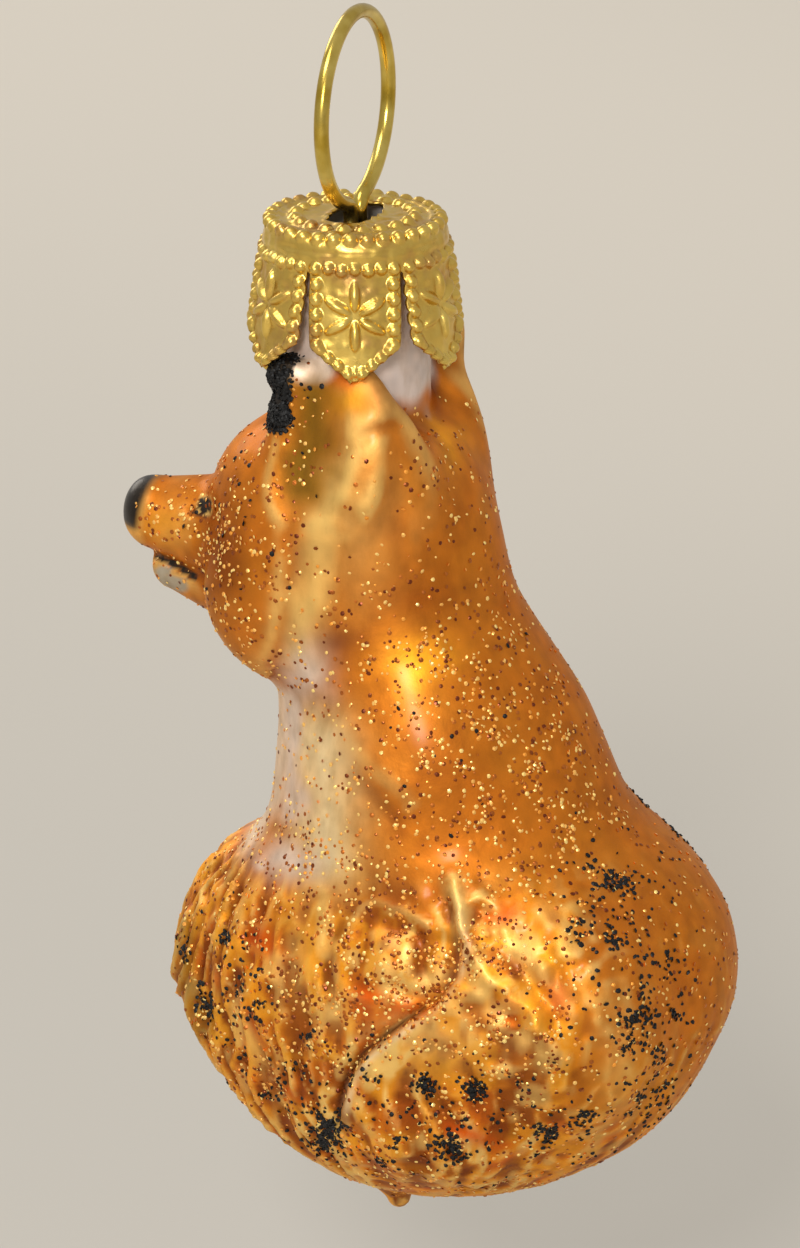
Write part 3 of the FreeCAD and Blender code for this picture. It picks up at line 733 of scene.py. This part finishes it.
def side_marks(c, view, wobble, broken):
    """The marks that both sides have, painted shade and painted highlights among them, and the mask of
    the black ones.
    """
    q, on = view.q + (wobble[:, None] - 0.5) * 14, view.faces
    # Painted shade in the creases and shaded places
    c = mixed(c, DEEP, on * 0.85 * marks(q, PAINTED_SHADE_MARKS))
    # Painted highlights on the shoulder, ear, nape, muzzle and rump
    c = mixed(c, BRIGHT, on * marks(q, PAINTED_HIGHLIGHT_MARKS))
    c = mixed(c, RED, on * 0.7 * marks(q, RED_MARKS))
    cream = most(marks(q, CREAM_MARKS), broken * marks(q, BROKEN_MARKS))
    c = mixed(c, CREAM, on * 0.85 * cream)
    c = mixed(c, IVORY, on * 0.75 * line(q, CHEST_LIGHT, 26))
    c = mixed(c, WHITE, on * 0.95 * marks(q, WHITE_MARKS))
    c = mixed(c, EAR_WHITE, most(view.ears, on) * step(0.25, 0.6, blob(view.q, *EAR_TIP_SPOT)))
    c = mixed(c, OLIVE, on * 0.95 * marks(q, OLIVE_MARKS))
    c = mixed(c, GREY, on * 0.95 * step(0.35, 0.7, marks(q, GREY_MARKS)))
    mouth = step(0.4, 0.7, line(view.q, MOUTH[1:], 5))
    eye = 0.8 * step(0.4, 0.7, line(view.q, EYE_SLIT, 3.5))
    ear = view.ears * step(0.3, 0.5, line(view.q, EAR_EDGE, 13))
    black = most(on * mouth, on * eye, ear)
    return mixed(c, BLACK, black), black


def near_marks(c, view, wobble):
    q, on = view.q + (wobble[:, None] - 0.5) * 12, view.faces
    # Red lacquer, with painted shade along the foot's edge
    c = mixed(c, RED, on * 0.9 * marks(q, BASE_RED_MARKS))
    return mixed(c, CREAM, on * 0.8 * marks(q, BASE_CREAM_MARKS))


def foot_marks(c, view, wobble):
    """The painted shade in the furrow of the foot's edge and the painted highlight on its rim, and the
    shade on the brush.
    """
    _, s, share = along_path(view.q, FOOT_EDGE)
    live = view.faces * step(0.0, 0.1, share) * step(1.0, 0.85, share)
    # Painted shade in the furrow below the foot's raised edge, and a painted highlight on its rim
    c = mixed(c, FOOT_EDGE_SHADE, live * (0.25 + 0.65 * step(0.3, 0.55, share)) * bell(s + 3, 3.2))
    c = mixed(c, FOOT_EDGE_HIGHLIGHT, live * (0.3 + 0.6 * step(0.35, 0.65, wobble)) * bell(s - 5, 3.6))
    return mixed(c, OLIVE * 0.7, view.faces * 0.6 * line(view.q, BRUSH_SHADE, 12))


def eye_mask(p, n):
    across = np.abs(p[:, 0]) - EYE_ACROSS
    up = p[:, 2] - EYE_UP - 0.2 * across
    return bell(across, EYE_HALF[0]) * bell(up, EYE_HALF[1]) * step(-0.15, -0.45, n[:, 1])


def bib_mask(p, n, wobble):
    sides = step(-0.15, -0.5, n[:, 1]) * step(5.0, 3.2, np.abs(p[:, 0]) + 1.2 * (wobble - 0.5))
    return sides * step(31.5, 29.5, p[:, 2]) * step(18.0, 19.6, p[:, 2])


def nose_mask(p):
    return step(-10.5, -11.1, p[:, 1] - 0.15 * (p[:, 2] - 35.6)) * step(34.5, 35.0, p[:, 2])


def bare_mask(p, wobble):
    """1 on the neck, which has no lacquer, and 0 on the ears beside it."""
    ear = (np.abs(p[:, 0]) > 3.95) & (p[:, 2] < 46.4)
    above = step(42.0, 43.2, p[:, 2] + 1.4 * (wobble - 0.5)) * ~ear
    return above * step(4.6, 4.1, np.hypot(p[:, 0], p[:, 1]))


def paint(p, n, hollow, inside):
    """Colour, metal look and roughness for each point."""
    wobble, fine = noise(p, 1.3, 5.0), noise(p, 0.5, 2.0)
    c = base_coat(p, hollow, wobble)
    metal = np.full(len(p), 0.7)
    patchy = step(0.38, 0.56, noise(p, 0.8, 29.0))
    for flip, strength in ((False, 0.8), (True, 0.4)):
        c, black = side_marks(c, View(p, n, flip), wobble, strength * patchy)
        metal = metal * (1 - 0.9 * black)
    near = View(p, n, False)
    c = near_marks(c, near, wobble)
    eye = eye_mask(p, n)
    c = mixed(c, CREAM, 0.8 * step(0.2, 0.35, eye))
    c = mixed(c, BLACK, step(0.4, 0.5, eye))
    c = mixed(c, BIB_WHITE, 0.92 * bib_mask(p, n, wobble))
    c = foot_marks(c, near, wobble)
    nose = nose_mask(p)
    c = mixed(c, 0.4 * BLACK, nose)
    metal = metal * (1 - 0.9 * step(0.4, 0.5, eye)) * (1 - nose)
    bare = bare_mask(p, wobble)
    c = mixed(mixed(c, SILVER, bare), MIRROR, inside)
    metal = np.where(bare > 0.5, 0.35, metal)
    metal = np.where(inside > 0.5, 1.0, metal)
    rough = 0.43 + 0.14 * wobble + 0.15 * bare - 0.15 * nose
    return c * (0.86 + 0.28 * fine)[:, None], metal, rough


# The glass

shape, outside = sculpt(PITCH)
verts, quads = surface(shape)
verts = settled(shape, verts, quads, 4)
normals = normals_of(verts, quads)
depth, slope = sampled(shape, outside, verts)
inside = step(-0.28, -0.5, depth / np.maximum(np.linalg.norm(slope, axis=1), 0.5))
moved = relief(verts, normals) * (1 - inside) * step(43.6, 42.4, verts[:, 2])
verts = verts + normals * moved[:, None]
normals = normals_of(verts, quads)
# How far each point sits in a hollow, for the base coat's painted shade and painted highlights
even = relax(verts, quads, HOLLOW_ROUNDS)
hollow = np.clip(np.sum((even - verts) * normals, axis=1) / 0.10, -1, 1)
colours, metals, roughs = paint(verts, normals, hollow, inside)
fox = mesh_object("fox_glass", verts, quads)
attribute = fox.data.attributes.new("paint", "FLOAT_COLOR", "POINT")
attribute.data.foreach_set("color", np.concatenate([colours, np.ones((len(verts), 1))], 1).ravel())
for name, values in (("metal", metals), ("rough", roughs)):
    fox.data.attributes.new(name, "FLOAT", "POINT").data.foreach_set("value", values)


# Glitter: flakes and grains laid in the lacquer

FLAKE_SIDES = 6


def cover(spread, sprinkle, on_ears=0.0):
    """How thick glitter lies on each point: as spread says, with a light sprinkle elsewhere."""
    total = np.zeros(len(verts))
    for flip in (False, True):
        view = View(verts, normals, flip)
        on = view.faces * (step(-3.0, -6.5, verts[:, 0]) if flip else 1.0)
        rim = on_ears * view.ears * step(0.25, 0.5, line(view.q, EAR_EDGE, 13))
        total = most(total, spread(view.q) * on, rim)
    clump = noise(verts, 0.9, 4.0)
    bare = (verts[:, 2] > 42.6) & (np.hypot(verts[:, 0], verts[:, 1]) < 4.1)
    total = total * (0.3 + 1.4 * step(0.35, 0.7, clump)) + sprinkle * (verts[:, 2] < 42)
    return total * ~bare


def grain_spread(q):
    return most(*(
        GRAIN_WEIGHT * weight * blob(q, x, y, GRAIN_SPREAD * wide, GRAIN_SPREAD * high) ** 2
        for x, y, wide, high, weight in GRAIN_SPOTS
    ))


def scatter(count, density, size, squash, tilt, name, lift=0.0):
    """Small closed lozenges on the skin, more of them where the density is high."""
    tri = np.concatenate([quads[:, [0, 1, 2]], quads[:, [0, 2, 3]]])
    a, b, c = (verts[tri[:, i]] for i in range(3))
    area = np.linalg.norm(np.cross(b - a, c - a), axis=1) / 2
    weight = area * density[tri].mean(1) * (inside[tri].max(1) < 0.1)
    pick = rng.choice(len(tri), count, p=weight / weight.sum())
    u, v = rng.random((2, count))
    over = u + v > 1
    u, v = np.where(over, 1 - u, u), np.where(over, 1 - v, v)
    at = a[pick] + u[:, None] * (b - a)[pick] + v[:, None] * (c - a)[pick]
    up = normals[tri[pick, 0]] + tilt * rng.normal(size=(count, 3))
    up /= np.linalg.norm(up, axis=1, keepdims=True)
    side = np.cross(up, rng.normal(size=(count, 3)))
    side /= np.linalg.norm(side, axis=1, keepdims=True)
    other = np.cross(up, side)
    radius = size * rng.uniform(0.6, 1.25, count)
    turns = [tau * k / FLAKE_SIDES for k in range(FLAKE_SIDES)]
    edge = [radius[:, None] * (side * cos(t) + other * sin(t)) + up * lift for t in turns]
    tips = [up * (radius * squash + lift)[:, None], -up * (radius * squash - lift)[:, None]]
    points = np.stack([at + away for away in edge + tips], 1)
    base = np.arange(count)[:, None] * (FLAKE_SIDES + 2)
    faces = []
    for k in range(FLAKE_SIDES):
        m = (k + 1) % FLAKE_SIDES
        faces += [base + (k, m, FLAKE_SIDES), base + (m, k, FLAKE_SIDES + 1)]
    item = mesh_object(name, points.reshape(-1, 3), np.concatenate(faces), smooth=False)
    tone = np.repeat(rng.random(count), FLAKE_SIDES + 2)
    item.data.attributes.new("tone", "FLOAT", "POINT").data.foreach_set("value", tone)
    return item


flake_cover = cover(lambda q: marks(q, GLITTER_MARKS), 0.10) * step(-11.3, -10.9, verts[:, 1])
gold_flakes = scatter(6400, flake_cover, 0.10, 0.35, 0.3, "gold_glitter", 0.02)
brown_flakes = scatter(4600, flake_cover, 0.112, 0.32, 0.2, "brown_glitter", 0.01)
grain_cover = cover(grain_spread, 0.007, EAR_GRAINS)
black_grains = scatter(5200, grain_cover, 0.132, 0.5, 0.5, "black_grains", 0.02)


# The cap: a thin stamped sheet with beads and a six-petalled flower on each flap

CAP_RADIUS, CAP_CORNER, CAP_SHEET = 4.6, 0.9, 0.2
CAP_TOP = 51.747
SLIT_START, CAP_DEPTH, CAP_FLARE, FLAP_POINT = 1.9, 7.1, 0.75, 1.6
SLOT_HALF_LENGTH, SLOT_HALF_WIDTH, SLOT_SQUARE = 2.1, 1.15, 3.2
FLAPS, FLAP_TURN, FLAP_HALF_ANGLE = 6, 20.0, 30
FLAP_FLARES = (1.0, 0.96, 1.04, 1.0, 1.05, 0.97)
FLAP_HALF_GAPS = (0.07, 0.11, 0.32)
CAP_TURNS, TOP_ROWS, CORNER_ROWS, COLLAR_ROWS, FLAP_ROWS = 480, 26, 14, 10, 58
INNER_BEADS, INNER_RING, OUTER_BEADS, OUTER_LEAN = 20, 2.95, 32, 38
BEAD_HALF, BEAD_ROUNDNESS = 0.38, 0.6
PETALS, PETAL_OUT, PETAL_HALF, FLOWER_DEPTH, STAMP_HEIGHT = 6, 0.98, (0.76, 0.27), 3.95, 0.30


def bumps(x, y, places):
    """Rounded bumps: each (x, y, half x, half y, turn in degrees, height)."""
    total = np.zeros_like(x)
    for px, py, rx, ry, turn, high in places:
        u, v = turned(x - px, y - py, turn)
        dome = np.clip(1 - (u / rx) ** 2 - (v / ry) ** 2, 0, None) ** BEAD_ROUNDNESS
        total = np.maximum(total, high * dome)
    return total


def flap_half_width(depth):
    """Half a flap's width in millimetres at a depth below the cap's top."""
    radius = CAP_RADIUS + CAP_FLARE * np.clip((depth - SLIT_START) / (CAP_DEPTH - SLIT_START), 0, 1)
    full = radius * radians(FLAP_HALF_ANGLE)
    gap = np.interp(depth, [SLIT_START, 3.0, CAP_DEPTH - FLAP_POINT], FLAP_HALF_GAPS)
    point = np.interp(depth, [CAP_DEPTH - FLAP_POINT, CAP_DEPTH], [1, 0.07])
    return (full - gap) * point


def flap_stamping():
    """The bumps of one flap: beads down its sides and its point, a row above, and a flower."""
    places = []
    for side in (-1, 1):
        for k in range(5):
            y = 2.45 + 0.74 * k
            places.append((side * (flap_half_width(y) - 0.42), y, 0.35, 0.36, 0, 0.32))
        for k in range(4):
            y = CAP_DEPTH - FLAP_POINT + 0.12 + 0.37 * k
            places.append((side * (flap_half_width(y) * 0.93 - 0.30), y, 0.30, 0.29, 0, 0.27))
    places.append((0, CAP_DEPTH - 0.42, 0.22, 0.22, 0, 0.22))
    for k in range(-3, 4):
        places.append((k * 0.66, 1.62 + 0.09 * (k % 2), 0.33, 0.32, 0, STAMP_HEIGHT))
    for k in range(PETALS):
        turn = 360 / PETALS * k + 30
        a = radians(turn)
        x, y = PETAL_OUT * cos(a), FLOWER_DEPTH + PETAL_OUT * sin(a)
        places.append((x, y, *PETAL_HALF, turn, STAMP_HEIGHT))
    return places


def dents(x, y, depth):
    """The thin sheet isn't quite true: small dents and creases in millimetres."""
    p = np.stack([x, y, np.full_like(x, -depth)], 1)
    return 0.10 * (noise(p, 1.3, 51.0) - 0.5) + 0.10 * (noise(p, 0.42, 57.0) - 0.5)


def bead_ring(angle, count, radius, across, half_across, high):
    """A ring of beads round the cap; across is how far a point lies off the ring's middle."""
    along = ((angle * count / tau) % 1 - 0.5) * tau * radius / count
    dome = np.clip(1 - (along / BEAD_HALF) ** 2 - (across / half_across) ** 2, 0, None)
    return dome ** BEAD_ROUNDNESS * high


def slot_radius(angle):
    """The slot's slightly torn edge, a rounded oblong."""
    torn = 0.10 * np.sin(3 * angle + 1.0) * np.sin(7 * angle) + 0.05 * np.sin(13 * angle + 2)
    x, y = np.abs(np.cos(angle)) / SLOT_HALF_LENGTH, np.abs(np.sin(angle)) / SLOT_HALF_WIDTH
    return 1 / (x ** SLOT_SQUARE + y ** SLOT_SQUARE) ** (1 / SLOT_SQUARE) + torn


def cap_points(radius, angle, depth, lift, lean=pi / 2):
    """Points of the sheet, lifted in a direction that leans from up to sideways."""
    x, y = radius * np.cos(angle), radius * np.sin(angle)
    lift = lift + dents(x, y, depth)
    out, up = sin(lean) * lift, cos(lean) * lift
    return np.stack([x + out * np.cos(angle), y + out * np.sin(angle), CAP_TOP - depth + up], 1)


def collar_rings(stamping):
    """The rings of points from the slot, over the rolled corner and down to the slits."""
    angle = np.radians(FLAP_TURN - FLAP_HALF_ANGLE + 360 * np.arange(CAP_TURNS) / CAP_TURNS)
    slot = slot_radius(angle)
    flat_end = CAP_RADIUS - CAP_CORNER
    for k in range(TOP_ROWS):
        radius = slot + (flat_end - slot) * k / (TOP_ROWS - 1)
        bead = bead_ring(angle, INNER_BEADS, INNER_RING, radius - INNER_RING, 0.36, 0.26)
        lip = 0.12 * bell(radius - slot, 0.25)
        groove = -0.10 * bell(radius - 3.55, 0.22)
        yield cap_points(radius, angle, 0.0, bead + lip + groove - 0.05, 0.0)
    for k in range(1, CORNER_ROWS + 1):
        lean = pi / 2 * k / CORNER_ROWS
        radius = flat_end + CAP_CORNER * sin(lean)
        across = (lean - radians(OUTER_LEAN)) * CAP_CORNER
        bead = bead_ring(angle, OUTER_BEADS, radius, across, BEAD_HALF, 0.30)
        yield cap_points(radius, angle, CAP_CORNER * (1 - cos(lean)), bead - 0.04, lean)
    share = (np.arange(CAP_TURNS) / CAP_TURNS * FLAPS) % 1 * 2 - 1
    x = share * radians(FLAP_HALF_ANGLE) * CAP_RADIUS
    for k in range(1, COLLAR_ROWS + 1):
        depth = CAP_CORNER + (SLIT_START - CAP_CORNER) * k / COLLAR_ROWS
        yield cap_points(CAP_RADIUS, angle, depth, bumps(x, depth, stamping))


def make_cap():
    """The cap as one sheet: rings down to the slits, then six flaps that go on from them."""
    stamping = flap_stamping()
    points = list(collar_rings(stamping))
    last, total = (len(points) - 1) * CAP_TURNS, len(points) * CAP_TURNS
    around = np.arange(CAP_TURNS)
    faces = []
    for first in range(0, last, CAP_TURNS):
        this, other = first + around, first + (around + 1) % CAP_TURNS
        faces.append(np.stack([this, this + CAP_TURNS, other + CAP_TURNS, other], 1))

    columns = np.arange(CAP_TURNS // FLAPS)
    spread = (columns + 0.5) / len(columns) * 2 - 1
    for flap, flare in enumerate(FLAP_FLARES):
        previous = last + flap * len(columns) + columns
        middle = radians(FLAP_TURN + 360 / FLAPS * flap)
        for k in range(1, FLAP_ROWS + 1):
            depth = SLIT_START + (CAP_DEPTH - SLIT_START) * k / FLAP_ROWS
            radius = CAP_RADIUS + flare * CAP_FLARE * k / FLAP_ROWS
            x = spread * flap_half_width(depth)
            points.append(cap_points(radius, middle + x / radius, depth, bumps(x, depth, stamping)))
            current = total + columns
            total += len(columns)
            faces.append(np.stack([previous[:-1], current[:-1], current[1:], previous[1:]], 1))
            previous = current
    item = mesh_object("stamped_cap", np.concatenate(points), np.concatenate(faces))
    sheet = item.modifiers.new("sheet", "SOLIDIFY")
    sheet.thickness = CAP_SHEET * MM
    sheet.offset = -1
    sheet.use_even_offset = False
    return item


# The hanger: one drawn wire, sprung

WIRE_DIAMETER, LOOP_RADIUS, BEND_RADIUS, PINCH_GAP = 0.75, 4.75, 0.95, 0.5
LEG_LENGTH, LEG_CLEARANCE = 9.2, 0.15
LOOP_STEPS, BEND_STEPS, LEG_STEPS, WIRE_SIDES = 72, 18, 24, 20


def arc(centre, radius, start, stop, steps):
    for k in range(steps + 1):
        t = start + (stop - start) * k / steps
        yield centre + radius * np.array([cos(t), sin(t)])


def wire_half():
    """One side of the wire in the XZ plane: half the loop, the bend at the pinch, and a leg."""
    half_sheet = CAP_SHEET / 2
    across = PINCH_GAP / 2 + WIRE_DIAMETER / 2 + BEND_RADIUS
    rise = sqrt((LOOP_RADIUS + BEND_RADIUS) ** 2 - across ** 2) - half_sheet
    leg_across = NECK_RADIUS - NECK_WALL - LEG_CLEARANCE - WIRE_DIAMETER / 2
    loop, bend = np.array([0, rise]), np.array([across, -half_sheet])
    leg_end = np.array([leg_across, -LEG_LENGTH])
    joint = atan2(*(loop - bend)[::-1])
    to_end = leg_end - bend
    leave = atan2(to_end[1], to_end[0]) + tau
    leave = leave - acos(BEND_RADIUS / np.linalg.norm(to_end))
    route = list(arc(loop, LOOP_RADIUS, pi / 2, joint - pi, LOOP_STEPS))
    route += list(arc(bend, BEND_RADIUS, joint, leave, BEND_STEPS))[1:]
    bend_end = route[-1]
    route += [bend_end + (leg_end - bend_end) * k / LEG_STEPS for k in range(1, LEG_STEPS + 1)]
    return np.array(route)


def make_wire():
    """A tube swept along both halves of the wire."""
    half = wire_half()
    whole = np.concatenate([half[:0:-1] * [-1, 1], half])
    points = np.stack([whole[:, 0], np.zeros(len(whole)), whole[:, 1] + CAP_TOP], 1)
    tangent = np.gradient(points, axis=0)
    tangent /= np.linalg.norm(tangent, axis=1, keepdims=True)
    side = np.array([0.0, 1.0, 0.0])
    up = np.cross(tangent, side)
    turns = [tau * k / WIRE_SIDES for k in range(WIRE_SIDES)]
    rings = [points + (up * cos(t) + side * sin(t)) * WIRE_DIAMETER / 2 for t in turns]
    verts = np.stack(rings, 1).reshape(-1, 3)
    faces = []
    for k in range(len(points) - 1):
        here, there = k * WIRE_SIDES, (k + 1) * WIRE_SIDES
        for m in range(WIRE_SIDES):
            n = (m + 1) % WIRE_SIDES
            faces.append([here + m, here + n, there + n, there + m])
    faces.append(list(range(WIRE_SIDES))[::-1])
    faces.append(list(range(len(verts) - WIRE_SIDES, len(verts))))
    return mesh_object("bent_wire", verts, faces)


cap = make_cap()
wire = make_wire()


# Materials

def filled(node, values):
    """The node, with its inputs set by name."""
    for key, value in values.items():
        node.inputs[key.replace("_", " ")].default_value = value
    return node


class Look:
    """A material built round one Principled shader."""

    def __init__(self, name, **values):
        self.mat = bpy.data.materials.new(name)
        self.mat.use_nodes = True
        self.nodes, self.links = self.mat.node_tree.nodes, self.mat.node_tree.links
        self.shader = filled(self.nodes["Principled BSDF"], values)
        self.where = self.node("TexCoord").outputs["Object"]

    def node(self, kind, **values):
        return filled(self.nodes.new("ShaderNode" + kind), values)

    def through(self, source, node, inlet="Vector", outlet="Vector"):
        """What comes out of a node when a source goes in."""
        self.links.new(source, node.inputs[inlet])
        return node.outputs[outlet]

    def attribute(self, name, outlet="Fac"):
        node = self.node("Attribute")
        node.attribute_name = name
        return node.outputs[outlet]

    def noise(self, scale, detail=3.0, roughness=0.55, stretch=None):
        where = self.where
        if stretch:
            where = self.through(where, self.node("Mapping", Scale=stretch))
        node = self.node("TexNoise", Scale=scale, Detail=detail, Roughness=roughness)
        return self.through(where, node, "Vector", "Fac")

    def ramp(self, source, *stops):
        """Colours between stops, each a place from 0 to 1 and a linear colour."""
        node = self.node("ValToRGB")
        elements = node.color_ramp.elements
        for element, (at, colour) in zip(elements, (stops[0], stops[-1])):
            element.position = at
            element.color = (*map(float, colour), 1)
        for at, colour in stops[1:-1]:
            elements.new(at).color = (*map(float, colour), 1)
        return self.through(source, node, "Fac", "Color")

    def scaled(self, source, low, high):
        return self.through(source, self.node("MapRange", To_Min=low, To_Max=high), "Value", "Result")

    def added(self, a, b):
        node = self.node("Math")
        self.links.new(a, node.inputs[0])
        return self.through(b, node, 1, "Value")

    def multiplied(self, amount, a, b):
        """Colour a times colour b, by an amount from 0 to 1."""
        node = self.node("Mix", Factor=amount)
        node.data_type = "RGBA"
        node.blend_type = "MULTIPLY"
        for source, inlet in zip((a, b), [s for s in node.inputs if s.type == "RGBA"]):
            self.links.new(source, inlet)
        return [s for s in node.outputs if s.type == "RGBA"][0]

    def set(self, name, source):
        self.links.new(source, self.shader.inputs[name])

    def bump(self, source, strength, distance):
        node = self.node("Bump", Strength=strength, Distance=distance)
        self.set("Normal", self.through(source, node, "Height", "Normal"))


def lacquer_look():
    """Lacquer over silvered glass: the painted colour with fine streaks and warm clouds."""
    look = Look(
        "lacquered_glass", Coat_Weight=0.14, Coat_Roughness=0.2, IOR=1.45,
        Specular_Tint=(0.86, 0.60, 0.36, 1.0),
    )
    streaks = look.noise(900, 4, 0.6, (1, 1, 0.45))
    tone = look.ramp(streaks, (0.30, (0.80, 0.74, 0.66)), (0.52, (1, 1, 1)), (0.72, (1, 1, 1)))
    colour = look.multiplied(0.7, look.attribute("paint", "Color"), tone)
    warm = look.ramp(look.noise(260, 3), (0.35, (1.0, 0.86, 0.72)), (0.65, (1, 1, 1)))
    look.set("Base Color", look.multiplied(0.6, colour, warm))
    look.set("Metallic", look.attribute("metal"))
    look.set("Roughness", look.added(look.attribute("rough"), look.scaled(streaks, -0.05, 0.08)))
    look.bump(look.noise(2200, 5, 0.6), 0.35, 0.00006)
    return look.mat


def flake_look(name, low, high, **values):
    look = Look(name, **values)
    look.set("Base Color", look.ramp(look.attribute("tone"), (0.1, low), (0.9, high)))
    return look.mat


def metal_look(name, patches, stops, sheen, rough, grain, strength, deep):
    """Bare metal: patches of colour, an uneven sheen and a fine grain."""
    look = Look(name, Metallic=1.0)
    look.set("Base Color", look.ramp(look.noise(*patches), *stops))
    look.set("Roughness", look.scaled(look.noise(sheen), *rough))
    look.bump(look.noise(*grain), strength, deep)
    return look.mat


gold_look = flake_look(
    "gold_glitter", lin(242, 158, 54), lin(255, 222, 132), Metallic=0.4, Roughness=0.3)
brown_look = flake_look(
    "brown_glitter", lin(112, 46, 12), lin(196, 110, 34), Metallic=0.6, Roughness=0.3)
grain_look = flake_look(
    "black_grains", lin(5, 5, 6), lin(18, 17, 17),
    Metallic=0.0, Roughness=0.5, Specular_IOR_Level=0.3)
brass_stops = (0.30, lin(204, 156, 92)), (0.48, lin(226, 188, 92)), (0.75, lin(244, 212, 116))
brass_look = metal_look(
    "stamped_brass", (420, 4, 0.6), brass_stops, 900, (0.20, 0.42), (2600, 4, 0.6), 0.25, 0.00005)
wire_stops = (0.35, lin(190, 158, 58)), (0.7, lin(236, 210, 116))
wire_look = metal_look(
    "drawn_wire", (500,), wire_stops, 700, (0.14, 0.32), (1500, 3, 0.6, (1, 5, 0.6)), 0.2, 0.00004)

for piece, body, slot, material in (
    (fox, "glass", "lacquered_glass", lacquer_look()),
    (gold_flakes, "glass", "lacquered_glass", gold_look),
    (brown_flakes, "glass", "lacquered_glass", brown_look),
    (black_grains, "glass", "lacquered_glass", grain_look),
    (cap, "cap", "cap_gold", brass_look), (wire, "hanger", "wire_gold", wire_look),
):
    piece.data.materials.append(material)
    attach(piece, body)
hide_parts("glass_body")
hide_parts("ornament_cap")
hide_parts("hanger_wire")


# Stage, in metres: a pale sheet of paper, a soft room and three lamps

FLOOR_LEVEL, FLOOR_HALF = -0.082, 2
LAMP_AIM = Vector((0, 0, -0.03))


def paper_look():
    """Paper painted a little lighter behind the ornament and to the right: painted light."""
    look = Look("paper", Roughness=0.85)
    swept = look.through(look.where, look.node("Mapping", Rotation=(0, 0, radians(-160))))
    across = look.through(swept, look.node("SeparateXYZ"), "Vector", "X")
    node = look.node("MapRange", From_Min=0.02, From_Max=0.26)
    node.interpolation_type = "SMOOTHSTEP"
    away = look.through(across, node, "Value", "Result")
    # Painted light: the paper's colour grows lighter behind the ornament and to the right
    look.set("Base Color", look.ramp(away, (0.0, lin(198, 194, 186)), (1.0, lin(228, 221, 209))))
    return look.mat


def aim(item, place, back):
    """Puts a lamp or camera at a place, with its back towards a direction."""
    item.location = place
    item.rotation_mode = "QUATERNION"
    item.rotation_quaternion = Vector(back).to_track_quat("Z", "Y")


def lamp(name, right, up, toward, size, power, colour):
    """A round lamp, placed by the camera's own right, up and back in metres."""
    data = bpy.data.lights.new(name, "AREA")
    data.shape = "DISK"
    data.size = size
    data.energy = power
    data.color = colour
    away = Vector(RIGHT * right + UP * up + BACK * toward)
    aim(linked(name, data), away + LAMP_AIM, away)


floor_mesh = bpy.data.meshes.new("floor")
floor_mesh.from_pydata([(x * FLOOR_HALF, y * FLOOR_HALF, FLOOR_LEVEL) for x, y in (
    (-1, -1), (1, -1), (1, 1), (-1, 1))], [], [(0, 1, 2, 3)])
floor_mesh.materials.append(paper_look())
floor = linked("floor", floor_mesh)

world = bpy.data.worlds.new("studio")
world.use_nodes = True
filled(world.node_tree.nodes["Background"], {"Color": (0.9, 0.88, 0.85, 1), "Strength": 0.565})
bpy.context.scene.world = world
lamp("key", -0.25, 0.45, 0.35, 0.35, 1.38, (1.0, 0.95, 0.88))
lamp("fill", -0.08, 0.09, 0.60, 0.11, 1.7, (1.0, 0.98, 0.95))
lamp("back", -0.40, 0.50, -0.50, 0.4, 1.2, (1.0, 0.96, 0.89))

camera_data = bpy.data.cameras.new("camera")
camera_data.sensor_width = 36
camera_data.lens = camera_data.sensor_width / 2 * CAMERA_AWAY / (FRAME_MIDDLE[1] * PIXEL)
camera_data.clip_start, camera_data.clip_end = 0.01, 10
camera = linked("camera", camera_data)
place = CAMERA_TARGET + BACK * CAMERA_AWAY + [0, 0, PIP_LEVEL]
aim(camera, Vector(place) * MM, BACK)
bpy.context.scene.camera = camera
bpy.context.scene.view_settings.view_transform = "Standard"
